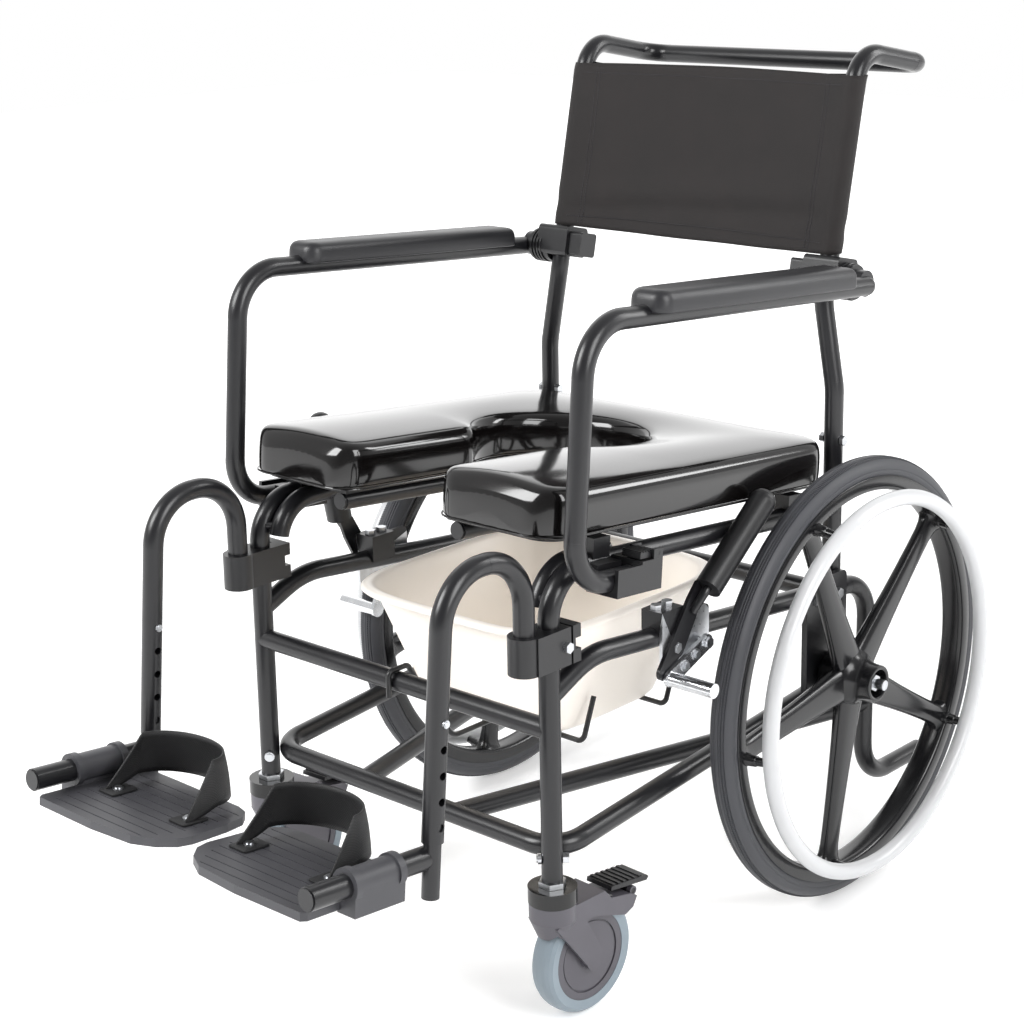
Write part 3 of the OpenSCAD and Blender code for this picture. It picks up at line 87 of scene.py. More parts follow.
def mottled(name, dark, light, patch_mm, rough, grain_mm, depth_mm, strength=0.3, **sockets):
    """A finish with a colour that drifts over patches, roughness between two values and a fine grain."""
    material, tree, shader = finish_named(name, **sockets)
    place = add(tree, "ShaderNodeTexCoord").outputs["Object"]
    patch = add(tree, "ShaderNodeTexNoise", {"Vector": place, "Scale": 1000 / patch_mm, "Detail": 3.0})
    tint = add(tree, "ShaderNodeMix", {0: patch.outputs[0], 6: linear(dark), 7: linear(light)},
               data_type="RGBA")
    gloss = add(tree, "ShaderNodeMapRange", {0: patch.outputs[0], 3: rough[0], 4: rough[1]})
    grain = add(tree, "ShaderNodeTexNoise", {"Vector": place, "Scale": 1000 / grain_mm, "Detail": 2.0})
    bump = add(tree, "ShaderNodeBump",
               {"Height": grain.outputs[0], "Distance": depth_mm / 1000, "Strength": strength})
    tree.links.new(tint.outputs[2], shader.inputs["Base Color"])
    tree.links.new(gloss.outputs[0], shader.inputs["Roughness"])
    tree.links.new(bump.outputs[0], shader.inputs["Normal"])
    return material


# Thick places in a cloth's threads, and patches of lighter and darker cloth, in millimetres.
SLUB_MM, CLOTH_PATCH_MM = 10 / 7, 500 / 9


def woven(name, dark, light, warp_mm, weft_mm, depth_mm, rough, **sockets):
    """A cloth whose threads follow the piece's own map, which is in metres across and along."""
    material, tree, shader = finish_named(name, **sockets)
    place = add(tree, "ShaderNodeUVMap", uv_map="cloth").outputs[0]
    parts = add(tree, "ShaderNodeSeparateXYZ", {0: place})
    waves = []
    for axis, pitch in ((0, warp_mm), (1, weft_mm)):
        turns = add(tree, "ShaderNodeMath", {0: parts.outputs[axis], 1: 2000 * math.pi / pitch},
                    operation="MULTIPLY")
        waves.append(add(tree, "ShaderNodeMath", {0: turns.outputs[0]}, operation="SINE").outputs[0])
    weave = add(tree, "ShaderNodeMath", {0: waves[0], 1: waves[1]}, operation="MULTIPLY")
    slub = add(tree, "ShaderNodeTexNoise", {"Vector": place, "Scale": 1000 / SLUB_MM, "Detail": 2.0})
    patch = add(tree, "ShaderNodeTexNoise",
                {"Vector": place, "Scale": 1000 / CLOTH_PATCH_MM, "Detail": 3.0})
    height = add(tree, "ShaderNodeMath", {0: weave.outputs[0], 1: slub.outputs[0]}, operation="ADD")
    lift = add(tree, "ShaderNodeMapRange", {0: height.outputs[0], 1: -0.6, 2: 1.6, 3: 0.0, 4: 1.0})
    both = add(tree, "ShaderNodeMath", {0: lift.outputs[0], 1: patch.outputs[0]}, operation="MULTIPLY")
    # Painted shade: the colour darkens in the hollows of the weave and lightens on the thread tops, mixed
    # with the cloth's random patches of lighter and darker tone.
    tint = add(tree, "ShaderNodeMix", {0: both.outputs[0], 6: linear(dark), 7: linear(light)},
               data_type="RGBA")
    gloss = add(tree, "ShaderNodeMapRange", {0: lift.outputs[0], 3: rough[1], 4: rough[0]})
    bump = add(tree, "ShaderNodeBump",
               {"Height": height.outputs[0], "Distance": depth_mm / 1000, "Strength": 0.5})
    tree.links.new(tint.outputs[2], shader.inputs["Base Color"])
    tree.links.new(gloss.outputs[0], shader.inputs["Roughness"])
    tree.links.new(bump.outputs[0], shader.inputs["Normal"])
    return material


# Powder-coated tube: cured powder gives a soft sheen with a faint orange peel, drawn at 2 mm to show.
powder_coat = mottled("powder_coated_tube", "#131315", "#1b1b1e", 90, (0.26, 0.34), 2.0, 0.03, 0.25)
# Gloss vinyl over foam: a smooth wet-looking skin that mirrors the studio.
gloss_vinyl = mottled("gloss_black_vinyl", "#080707", "#0d0b0b", 60, (0.09, 0.14), 1.6, 0.02, 0.10,
                      Coat_Weight=0.2, Coat_Roughness=0.05)
# Integral-skin foam: satin with a pebbled mould grain.
skin_foam = mottled("integral_skin_foam", "#1b1b1e", "#232326", 40, (0.36, 0.46), 0.9, 0.05, 0.35)
# Glass-filled nylon: moulded, satin, with a slight flow mottle.
filled_nylon = mottled("glass_filled_nylon", "#131315", "#1a1a1c", 30, (0.30, 0.42), 0.7, 0.03, 0.3)
# Footplate moulding: a greyer nylon, dulled by feet.
footplate_nylon = mottled("moulded_footplate_nylon", "#36363a", "#424246", 35, (0.40, 0.52), 0.9, 0.04, 0.35)
# Wheel moulding: glossier nylon, from a polished mould.
wheel_nylon = mottled("wheel_nylon", "#0f0f11", "#151517", 50, (0.17, 0.25), 0.8, 0.03, 0.25)
# Bright zinc plate: a metal with rubbed patches.
zinc = mottled("zinc_plate", "#b4b6ba", "#d4d6d8", 6, (0.22, 0.38), 0.5, 0.02, 0.3, Metallic=1.0)
# Drawn aluminium of the lock shoes: bright, with fine rubbing.
aluminium = mottled("drawn_aluminium", "#d2d4d7", "#e6e7e9", 8, (0.16, 0.28), 0.5, 0.015, 0.25, Metallic=1.0)
# Plastic dip on the hand rim: bright white, smooth, slightly soft.
white_dip = mottled("white_plastic_dip", "#bdbec0", "#c9cacb", 120, (0.22, 0.30), 1.5, 0.02, 0.15)
# Solid polyurethane tyre: dark grey and dull.
tyre_rubber = mottled("polyurethane_tyre", "#2f3034", "#3a3b40", 60, (0.42, 0.55), 0.8, 0.04, 0.4)
# Thin polypropylene with a painted glow: a faint cream emission lifts its shaded side, standing in for light
# through its walls.
pan_plastic = mottled("cream_polypropylene_painted_glow", "#f8f1e8", "#fcf7f0", 70, (0.28, 0.36), 1.2, 0.02, 0.2,
                      Emission_Color=linear("#fff2e2"), Emission_Strength=0.11)
# Groove floors of the footplates: the same nylon, coloured paler so that the grooves show as pale lines.
pale_groove_nylon = mottled("pale_groove_floor_nylon", "#77777b", "#8f8f93", 9, (0.5, 0.65), 0.8, 0.03, 0.3)
# Caster nylon: grey and satin.
caster_nylon = mottled("caster_nylon", "#4a484e", "#545259", 30, (0.34, 0.46), 0.7, 0.03, 0.3)
# Gloss acetal of the swivel ring: nearly black and mirror smooth.
ring_acetal = mottled("black_acetal_ring", "#060606", "#0a0a0b", 20, (0.08, 0.14), 0.8, 0.01, 0.1)
# Soft caster tread: blue grey and dull.
caster_rubber = mottled("thermoplastic_tread", "#79858e", "#87939b", 30, (0.40, 0.52), 0.8, 0.03, 0.3)
# Dipped vinyl of the lock grips: satin black.
grip_vinyl = mottled("dipped_vinyl_grip", "#151516", "#1b1b1d", 25, (0.32, 0.42), 0.9, 0.04, 0.3)
# Painted board under the seat.
board_paint = mottled("painted_seat_board", "#141415", "#1a1a1c", 40, (0.35, 0.5), 1.0, 0.03, 0.3)
# Vinyl-coated wire of the pan carrier.
wire_vinyl = mottled("vinyl_coated_wire", "#1a1a1b", "#222223", 20, (0.25, 0.35), 0.8, 0.02, 0.2)
# Plain-weave nylon: dull, with the threads drawn at 1.6 mm so that they show.
nylon_cloth = woven("woven_nylon", "#0c0808", "#221a19", 1.6, 1.6, 0.14, (0.7, 0.9), Sheen_Weight=0.05)
# Polypropylene webbing: ribs across the band at 2 mm, with a slight shine.
webbing = woven("polypropylene_webbing", "#111112", "#232325", 2.0, 3.0, 0.25, (0.45, 0.65))

looks = {
    powder_coat: ["side_frame", "crossbars", "lower_frame", "back_frame", "arm_tube", "hanger", "extension",
                  "seat_rails", "axle_plates", "lock_lever"],
    filled_nylon: ["arm_block", "arm_clip", "footrest_clamp", "seat_clips", "arm_latch", "caster_pedal"],
    zinc: ["axles", "frame_bolts", "caster_stems", "snap_button", "lock_bracket"],
    aluminium: ["lock_shoe"],
    footplate_nylon: ["footplate"],
    grip_vinyl: ["lock_grip"],
    wheel_nylon: ["wheel"],
    tyre_rubber: ["tyre"],
    white_dip: ["handrim"],
    caster_nylon: ["caster_fork", "caster_wheel"],
    caster_rubber: ["caster_tread"],
    pan_plastic: ["commode_pan"],
    wire_vinyl: ["pan_carrier"],
    board_paint: ["seat_board"],
}
for material, names in looks.items():
    for name in names:
        for full in (name, "left_" + name, "right_" + name):
            if full in nodes:
                nodes[full].data.materials.clear()
                nodes[full].data.materials.append(material)


def second_look(name, material, chosen):
    """A second material on the faces that chosen(centre, normal) picks; centres are in axle millimetres."""
    mesh = nodes[name].data
    mesh.materials.append(material)
    for face in mesh.polygons:
        c = nodes[name].matrix_world @ face.center * 1000
        if chosen(Vector((c.x, c.y - AXLE_Y, c.z)), face.normal):
            face.material_index = 1


FOOT_RISE = math.radians(5.45)
BAR_AT = Vector((211.0, -638.1, 247.1))
# Height of the groove floors from the footplate's bar, and of the swivel ring's lower edge.
GROOVE_FLOOR, RING_LOW = -17.0, 136.0
# The clamp of a lock's bracket lies inside this X and above this Z; its steel plate is the rest.
CLAMP_X, CLAMP_Z = 229.2, 391.0


def under_top(c, normal):
    """Faces of a footplate's groove floors, which look up from 1 mm under its top."""
    height = (c.z - BAR_AT.z) * math.cos(FOOT_RISE) + (c.y - BAR_AT.y) * math.sin(FOOT_RISE)
    return abs(height - GROOVE_FLOOR) < 0.3 and normal.z > 0.9


for name, _ in SIDES:
    second_look(name + "_lock_bracket", filled_nylon, lambda c, normal: abs(c.x) < CLAMP_X or c.z > CLAMP_Z)
    second_look(name + "_caster_fork", ring_acetal, lambda c, normal: c.z > RING_LOW)
    second_look(name + "_footplate", pale_groove_nylon, under_top)

# Camera, floor and light

# Where the fitted camera stands, and how it is turned, in degrees.
CAMERA_AT = at(1544.26, -1955.71, 1137.74)
azimuth, elevation, roll = (math.radians(a) for a in (42.439, 14.272, -1.072))
back = Vector((math.sin(azimuth) * math.cos(elevation), -math.cos(azimuth) * math.cos(elevation),
               math.sin(elevation)))
right = (-back).cross(Vector((0, 0, 1))).normalized()
up = right.cross(-back)
turned_right = right * math.cos(roll) + up * math.sin(roll)
turned_up = up * math.cos(roll) - right * math.sin(roll)
camera = bpy.data.objects.new("camera", bpy.data.cameras.new("camera"))
camera.data.lens = 74.13
camera.data.sensor_width = 36
camera.data.shift_x = -0.0064
camera.data.shift_y = -0.0716
camera.matrix_world = Matrix.Translation(CAMERA_AT) @ Matrix(
    (turned_right, turned_up, back)).transposed().to_4x4()
bpy.context.scene.collection.objects.link(camera)
bpy.context.scene.camera = camera

# Half the floor's width and its height, just under the wheels, in metres.
FLOOR_HALF, FLOOR_Z = 9, -0.0005
floor_mesh = bpy.data.meshes.new("floor")
floor_corners = [(x * FLOOR_HALF, y * FLOOR_HALF, FLOOR_Z) for x, y in ((-1, -1), (1, -1), (1, 1), (-1, 1))]
floor_mesh.from_pydata(floor_corners, [], [(0, 1, 2, 3)])
floor = bpy.data.objects.new("floor", floor_mesh)
floor_paper = mottled("white_studio_paper", "#f4f4f4", "#fafafa", 800, (0.85, 0.95), 2.0, 0.02, 0.1,
                      Emission_Color=linear("#ffffff"))
# The paper is lit from below more and more away from the chair, so that it fades into the white behind.
paper = floor_paper.node_tree
away = add(paper, "ShaderNodeVectorMath", {0: add(paper, "ShaderNodeTexCoord").outputs["Object"]},
           operation="LENGTH")
lit = add(paper, "ShaderNodeMapRange", {0: away.outputs["Value"], 1: 1.2, 2: 3.6, 3: 0.25, 4: 0.9})
paper.links.new(lit.outputs[0], paper.nodes["Principled BSDF"].inputs["Emission Strength"])
floor_mesh.materials.append(floor_paper)
bpy.context.scene.collection.objects.link(floor)

world = bpy.data.worlds.new("studio")
world.use_nodes = True
sky = world.node_tree
# White to the eye; as light it is brightest behind the chair and dimmer round the camera.
towards = add(sky, "ShaderNodeVectorMath", {0: add(sky, "ShaderNodeTexCoord").outputs["Generated"], 1: back},
              operation="DOT_PRODUCT")
glow = add(sky, "ShaderNodeMapRange", {0: towards.outputs["Value"], 1: -0.7, 2: 0.9, 3: 1.0, 4: 0.26})
seen = add(sky, "ShaderNodeLightPath").outputs["Is Camera Ray"]
strength = add(sky, "ShaderNodeMix", {0: seen, 2: glow.outputs[0], 3: 1.0})
sky.links.new(strength.outputs[0], sky.nodes["Background"].inputs["Strength"])
sky.nodes["Background"].inputs["Color"].default_value = linear("#ffffff")
bpy.context.scene.world = world
bpy.context.scene.view_settings.view_transform = "Standard"


def soft_box(name, place, aim, size, power):
    """A rectangular area light at place, facing aim."""
    light = bpy.data.objects.new(name, bpy.data.lights.new(name, "AREA"))
    light.data.shape = "RECTANGLE"
    light.data.size, light.data.size_y = size
    light.data.energy = power
    facing = (Vector(aim) - Vector(place)).to_track_quat("-Z", "Y")
    light.matrix_world = Matrix.Translation(place) @ facing.to_matrix().to_4x4()
    light.visible_camera = False
    bpy.context.scene.collection.objects.link(light)


soft_box("key_box", (-1.1, -2.5, 2.3), (0, 0, 0.45), (1.5, 1.5), 100)
soft_box("fill_box", (2.6, -0.4, 1.8), (0, 0, 0.45), (1.2, 1.8), 58)
# A wide bright sheet behind the chair, which the gloss seat mirrors.
soft_box("back_sheet", (-2.2, 2.4, 1.9), (0, 0, 0.55), (4.6, 3.2), 34)
# A tall strip behind the near side, which draws the long highlights along the seat and the tubes.
soft_box("rim_strip", (1.9, 2.3, 1.9), (0, 0, 0.5), (0.5, 2.0), 34)


# Mesh helpers

def link(name, mesh, material, body):
    """Puts a finished mesh in the scene on its body."""
    piece = bpy.data.objects.new(name, mesh)
    bpy.context.scene.collection.objects.link(piece)
    mesh.materials.clear()
    mesh.materials.append(material)
    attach(piece, body)
    return piece


def shade(mesh, crease, weld=1e-6):
    """Merges doubles, turns faces outwards and smooths all but edges sharper than crease degrees."""
    tidy = bmesh.new()
    tidy.from_mesh(mesh)
    bmesh.ops.remove_doubles(tidy, verts=tidy.verts, dist=weld)
    bmesh.ops.recalc_face_normals(tidy, faces=tidy.faces)
    for edge in tidy.edges:
        edge.smooth = len(edge.link_faces) < 2 or math.degrees(edge.calc_face_angle(0)) < crease
    for face in tidy.faces:
        face.smooth = True
    tidy.to_mesh(mesh)
    tidy.free()


def solid(name, points, faces, material, body, slot, crease=35):
    """A closed piece from points in millimetres."""
    mesh = bpy.data.meshes.new(name)
    mesh.from_pydata([at(*p) for p in points], [], faces)
    shade(mesh, crease)
    return link(name, mesh, material, body)


def loft(rings, closed=False):
    """Points and faces of a skin over equal rings; the two ends are capped unless it closes on itself."""
    n = len(rings[0])
    points = [p for ring in rings for p in ring]
    faces = []
    for i in range(len(rings) if closed else len(rings) - 1):
        a, b = i * n, (i + 1) % len(rings) * n
        faces += [(a + k, a + (k + 1) % n, b + (k + 1) % n, b + k) for k in range(n)]
    if not closed:
        faces += [tuple(range(n)), tuple(range(len(points) - n, len(points)))]
    return points, faces


def joined(*parts):
    """Several (points, faces) lists as one."""
    points, faces = [], []
    for p, f in parts:
        faces += [tuple(len(points) + k for k in face) for face in f]
        points += p
    return points, faces


def turned(profile, middle, steps=144):
    """A closed [radius, offset] profile turned about a line along X through middle."""
    x, y, z = middle
    rings = []
    for i in range(steps):
        a = 2 * math.pi * i / steps
        rings.append([(x + o, y + r * math.cos(a), z + r * math.sin(a)) for r, o in profile])
    return loft(rings, True)


def bar(path, radius, sides=12, closed=False):
    """A round bar along a path of points."""
    path = [Vector(p) for p in path]
    n = len(path)
    rings, across = [], None
    for i, p in enumerate(path):
        ahead = path[(i + 1) % n] if closed or i < n - 1 else p
        behind = path[i - 1] if closed or i > 0 else p
        run = (ahead - behind).normalized()
        across = across or run.orthogonal().normalized()
        across = (across - run * across.dot(run)).normalized()
        over = run.cross(across)
        rings.append([tuple(p + radius * (across * math.cos(a) + over * math.sin(a)))
                      for a in (2 * math.pi * k / sides for k in range(sides))])
    return loft(rings, closed)


def mirrored(points, sign):
    """Points as they are for the left side, or turned over for the right."""
    return [(sign * x, y, z) for x, y, z in points]


def baked(piece):
    """The piece's mesh with its modifiers applied and removed."""
    bpy.context.view_layer.update()
    mesh = bpy.data.meshes.new_from_object(piece.evaluated_get(bpy.context.evaluated_depsgraph_get()))
    piece.modifiers.clear()
    piece.data = mesh
    return mesh


# Pieces that repeat: bolt heads on points, stitches along lines and ribs round the tyres

def tree_with(name, inputs):
    """A Geometry Nodes tree with named inputs; gives the tree, its inputs and its result socket."""
    tree = bpy.data.node_groups.new(name, "GeometryNodeTree")
    tree.interface.new_socket("Geometry", in_out="INPUT", socket_type="NodeSocketGeometry")
    for label, kind in inputs:
        tree.interface.new_socket(label, in_out="INPUT", socket_type="NodeSocket" + kind)
    tree.interface.new_socket("Geometry", in_out="OUTPUT", socket_type="NodeSocketGeometry")
    return tree, add(tree, "NodeGroupInput").outputs, add(tree, "NodeGroupOutput").inputs["Geometry"]


heads, given, result = tree_with(
    "bolt_heads", (("Head Radius", "Float"), ("Head Height", "Float"), ("Sides", "Int"),
                   ("Washer Radius", "Float"), ("Finish", "Material")))
head = add(heads, "GeometryNodeMeshCylinder",
           {"Vertices": given["Sides"], "Radius": given["Head Radius"], "Depth": given["Head Height"]})
middle = add(heads, "ShaderNodeMath", {0: given["Head Height"], 1: 0.5}, operation="MULTIPLY")
raised = add(heads, "ShaderNodeCombineXYZ", {"Z": middle.outputs[0]})
head = add(heads, "GeometryNodeTransform",
           {"Geometry": head.outputs["Mesh"], "Translation": raised.outputs[0]})
washer = add(heads, "GeometryNodeMeshCylinder",
             {"Vertices": 28, "Radius": given["Washer Radius"], "Depth": 0.002})
bolt = add(heads, "GeometryNodeJoinGeometry")
for part in (head.outputs[0], washer.outputs["Mesh"]):
    heads.links.new(part, bolt.inputs[0])
facing = add(heads, "GeometryNodeInputNamedAttribute", {"Name": "facing"}, data_type="FLOAT_VECTOR")
turn = add(heads, "FunctionNodeAlignRotationToVector", {"Vector": facing.outputs["Attribute"]}, axis="Z")
placed = add(heads, "GeometryNodeInstanceOnPoints",
             {"Points": given["Geometry"], "Instance": bolt.outputs[0], "Rotation": turn.outputs[0]})
real = add(heads, "GeometryNodeRealizeInstances", {"Geometry": placed.outputs[0]})
done = add(heads, "GeometryNodeSetMaterial", {"Geometry": real.outputs[0], "Material": given["Finish"]})
heads.links.new(done.outputs[0], result)

rows, given, result = tree_with(
    "stitch_rows", (("Pitch", "Float"), ("Thread Radius", "Float"), ("Length", "Vector"),
                    ("Finish", "Material")))
line = add(rows, "GeometryNodeMeshToCurve", {"Mesh": given["Geometry"]})
spots = add(rows, "GeometryNodeCurveToPoints", {"Curve": line.outputs[0], "Length": given["Pitch"]},
            mode="LENGTH")
thread = add(rows, "GeometryNodeMeshUVSphere", {"Segments": 8, "Rings": 6, "Radius": given["Thread Radius"]})
turn = add(rows, "FunctionNodeAlignRotationToVector", {"Vector": spots.outputs["Tangent"]}, axis="Z")
placed = add(rows, "GeometryNodeInstanceOnPoints",
             {"Points": spots.outputs["Points"], "Instance": thread.outputs["Mesh"],
              "Rotation": turn.outputs[0], "Scale": given["Length"]})
real = add(rows, "GeometryNodeRealizeInstances", {"Geometry": placed.outputs[0]})
done = add(rows, "GeometryNodeSetMaterial", {"Geometry": real.outputs[0], "Material": given["Finish"]})
rows.links.new(done.outputs[0], result)

ribs, given, result = tree_with("knurl_ribs", (("Rib Size", "Vector"), ("Finish", "Material")))
rib = add(ribs, "GeometryNodeMeshCube", {"Size": given["Rib Size"]})
facing = add(ribs, "GeometryNodeInputNamedAttribute", {"Name": "facing"}, data_type="FLOAT_VECTOR")
turn = add(ribs, "FunctionNodeAlignRotationToVector", {"Vector": facing.outputs["Attribute"]}, axis="Z")
placed = add(ribs, "GeometryNodeInstanceOnPoints",
             {"Points": given["Geometry"], "Instance": rib.outputs["Mesh"], "Rotation": turn.outputs[0]})
real = add(ribs, "GeometryNodeRealizeInstances", {"Geometry": placed.outputs[0]})
done = add(ribs, "GeometryNodeSetMaterial", {"Geometry": real.outputs[0], "Material": given["Finish"]})
ribs.links.new(done.outputs[0], result)


def repeated(name, points, edges, tree, values, body, looks_at=None):
    """Runs a repeating tree over points, or over lines through them, and keeps the finished mesh."""
    mesh = bpy.data.meshes.new(name)
    mesh.from_pydata([at(*p) for p in points], edges, [])
    if looks_at:
        layer = mesh.attributes.new("facing", "FLOAT_VECTOR", "POINT")
        for k, way in enumerate(looks_at):
            layer.data[k].vector = way
    piece = bpy.data.objects.new(name, mesh)
    bpy.context.scene.collection.objects.link(piece)
    step = piece.modifiers.new("repeat", "NODES")
    step.node_group = tree
    for item in tree.interface.items_tree:
        if item.name in values:
            step[item.identifier] = values[item.name]
    shade(baked(piece), 30)
    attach(piece, body)
    return piece


def bolts(name, points, looks_at, body, radius=4.5, height=4.0, sides=6, washer=6.0):
    """Zinc bolt or screw heads; sizes in millimetres."""
    values = {"Head Radius": radius / 1000, "Head Height": height / 1000, "Sides": sides,
              "Washer Radius": washer / 1000, "Finish": zinc}
    return repeated(name, points, [], heads, values, body, looks_at)


# Radius of a stitch's thread in millimetres, and half its length as a share of the pitch.
THREAD_R, STITCH_SHARE = 0.5, 0.36


def stitches(name, lines, pitch, body, finish):
    """A row of raised thread along each line of points."""
    points, edges = [], []
    for row in lines:
        edges += [(len(points) + k, len(points) + k + 1) for k in range(len(row) - 1)]
        points += row
    values = {"Pitch": pitch / 1000, "Thread Radius": THREAD_R / 1000,
              "Length": (1.0, 1.0, STITCH_SHARE * pitch / THREAD_R), "Finish": finish}
    return repeated(name, points, edges, rows, values, body)


# Seat: a keyhole pad of foam under gloss vinyl

SEAT_LEN, SEAT_HALF, PAD_T, CROWN = 495.0, 230.0, 50.0, 5.0
SLOT_HALF, HOLE_HALF, HOLE_LEN, HOLE_MID = 62.0, 101.0, 98.0, 277.0
OUTER_CORNER, INNER_CORNER = 40.0, 34.0
SEAT_TILT = math.radians(5.2)
# The front lower edge of the pad, along Y from the axle and up from the floor.
SEAT_Y, SEAT_Z = -475.0, 527.93


def on_seat(x, y, z):
    """A point of the seat's own plane, z up from the underside of the pad, in axle millimetres."""
    return (x, SEAT_Y + y * math.cos(SEAT_TILT) + z * math.sin(SEAT_TILT),
            SEAT_Z - y * math.sin(SEAT_TILT) + z * math.cos(SEAT_TILT))


def corner(y, r):
    """How far a corner of radius r stands in at y from its end."""
    return 0 if y >= r else r - math.sqrt(r * r - (r - y) ** 2)


def seat_edges(front, steps):
    """Inner and outer edge points of the pad from one front end round the back to the other."""
    start = -math.acos(SLOT_HALF / HOLE_HALF)
    neck = HOLE_MID + HOLE_LEN * math.sin(start)
    half = [((SLOT_HALF + corner(y, INNER_CORNER), y), (SEAT_HALF - corner(y, OUTER_CORNER), y))
            for y in front]
    side, arc, rear = SEAT_LEN - OUTER_CORNER - neck, OUTER_CORNER * math.pi / 2, SEAT_HALF - OUTER_CORNER
    for i in range(steps + 1):
        w = i / steps
        q = start + (math.pi / 2 - start) * w
        d = w * (side + arc + rear)
        if d < side:
            outer = (SEAT_HALF, neck + d)
        elif d < side + arc:
            turn = (d - side) / OUTER_CORNER
            outer = (SEAT_HALF - OUTER_CORNER * (1 - math.cos(turn)),
                     SEAT_LEN - OUTER_CORNER * (1 - math.sin(turn)))
        else:
            outer = (rear - (d - side - arc), SEAT_LEN)
        half.append(((HOLE_HALF * math.cos(q), HOLE_MID + HOLE_LEN * math.sin(q)), outer))
    return half + [((-a[0], a[1]), (-b[0], b[1])) for a, b in reversed(half[:-1])]


FRONT_STEPS = (0, 0.8, 2.5, 5.5, 10, 16, 24, 34, 46, 60, 75, 91, 108, 125, 143, 161, 181)
# How far the skin stands in from the edge at each share of the pad's height.
SIDE = ((0, 4), (0.03, 2), (0.09, 0.8), (0.22, 0.2), (0.4, 0), (0.58, 0.1), (0.74, 0.7), (0.84, 2),
        (0.91, 4.2), (0.965, 7.8), (1, 13))
# How much of the crown stands at each share of the way across the top.
TOP = ((0.2, 0.45), (0.32, 0.8), (0.44, 0.97), (0.56, 0.97), (0.68, 0.8), (0.8, 0.45))
pad_edges = seat_edges(FRONT_STEPS, 34)
rings = []
for i, (inner, outer) in enumerate(pad_edges):
    a, b = Vector(inner), Vector(outer)
    width = (b - a).length
    along = (b - a) / width
    step = min(i, len(pad_edges) - 1 - i)
    # The front ends round over as the sides do.
    lid = 1 - 0.34 * max(0, 1 - FRONT_STEPS[step] / 15) ** 2.2 if step < len(FRONT_STEPS) else 1
    ring = [(a + along * inset, s * PAD_T) for s, inset in SIDE]
    ring += [(a + along * (f * width), PAD_T + CROWN * c) for f, c in TOP]
    ring += [(b - along * inset, s * PAD_T) for s, inset in reversed(SIDE)]
    ring += [(a + along * (f * width), 0) for f in (0.75, 0.5, 0.25)]
    rings.append([on_seat(p.x, p.y, z * lid) for p, z in ring])
seat_cover = solid("seat_cover", *loft(rings), gloss_vinyl, "seat", "vinyl", crease=70)


# Length of the cloth run, rounds of evening out, pressure under the cover and most it may swell.
CLOTH_FRAMES, SHARE_TURNS, PRESSURE, SWELL = 20, 30, 4.0, 2.0


def swollen(piece, held, pressure, cap_mm):
    """Lets a cover swell over its foam as stretched vinyl does; no point moves further than cap_mm."""
    start = [v.co.copy() for v in piece.data.vertices]
    piece.vertex_groups.new(name="held").add(held, 1.0, "REPLACE")
    skin = piece.modifiers.new("skin", "CLOTH")
    skin.settings.vertex_group_mass = "held"
    skin.settings.use_pressure = True
    skin.settings.uniform_pressure_force = pressure
    skin.settings.effector_weights.gravity = 0
    skin.settings.tension_stiffness = skin.settings.compression_stiffness = 25
    skin.settings.bending_stiffness = 3
    skin.point_cache.frame_end = CLOTH_FRAMES
    for number in range(1, CLOTH_FRAMES + 1):
        bpy.context.scene.frame_set(number)
    moved = baked(piece)
    steps = [v.co - old for v, old in zip(moved.vertices, start)]
    steps = [step * min(1, cap_mm / 1000 / max(step.length, 1e-9)) for step in steps]
    beside = [[] for v in moved.vertices]
    for edge in moved.edges:
        a, b = edge.vertices
        beside[a].append(b)
        beside[b].append(a)
    # Foam evens the swelling out, so each point shares its move with its neighbours.
    for turn in range(SHARE_TURNS):
        steps = [(step + sum((steps[k] for k in near), Vector())) / (1 + len(near))
                 for step, near in zip(steps, beside)]
    for v, old, step in zip(moved.vertices, start, steps):
        v.co = old + step
    bpy.context.scene.frame_set(1)
    piece.vertex_groups.clear()


ring_size = len(rings[0])
low_edge = [k for k in range(len(seat_cover.data.vertices))
            if k % ring_size < 3 or k % ring_size > ring_size - 7]
swollen(seat_cover, low_edge, PRESSURE, SWELL)
round_off = seat_cover.modifiers.new("round", "SUBSURF")
round_off.levels = round_off.render_levels = 1
shade(baked(seat_cover), 70)
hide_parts("seat_pad")

# Piped welt where the cover is fixed round the underside.
welt_plan = [b for a, b in pad_edges] + [a for a, b in reversed(pad_edges)]
welt_path = [on_seat(x, y, 0.4) for x, y in welt_plan]
solid("seat_welt", *bar(welt_path, 1.2, 10, True), gloss_vinyl, "seat", "vinyl")

# Sling back: one sheet, wrapped round each cane and sewn back on itself

SLING_LOW, SLING_H, SLING_SAG = 743.0, 198.0, 26.0
SLEEVE_R = 12.7
SLEEVE_FROM = math.radians(140)
SEAM_IN = 32.0


# The left cane: where its leaning part starts, how far it rises and leans, and its bend to the push bar.
CANE_X, CANE_Y, CANE_Z, CANE_RISE, CANE_LEAN = 200, 35.96, 690, 278, 61
BEND_Z, BEND_R = 930.0, 38.0


def cane_at(z):
    """Centre of the left cane at a height; it bends back to the push bar above BEND_Z."""
    f = (z - CANE_Z) / CANE_RISE
    return CANE_X + f, CANE_Y + CANE_LEAN * f + max(0, z - BEND_Z) ** 2 / (2 * BEND_R)


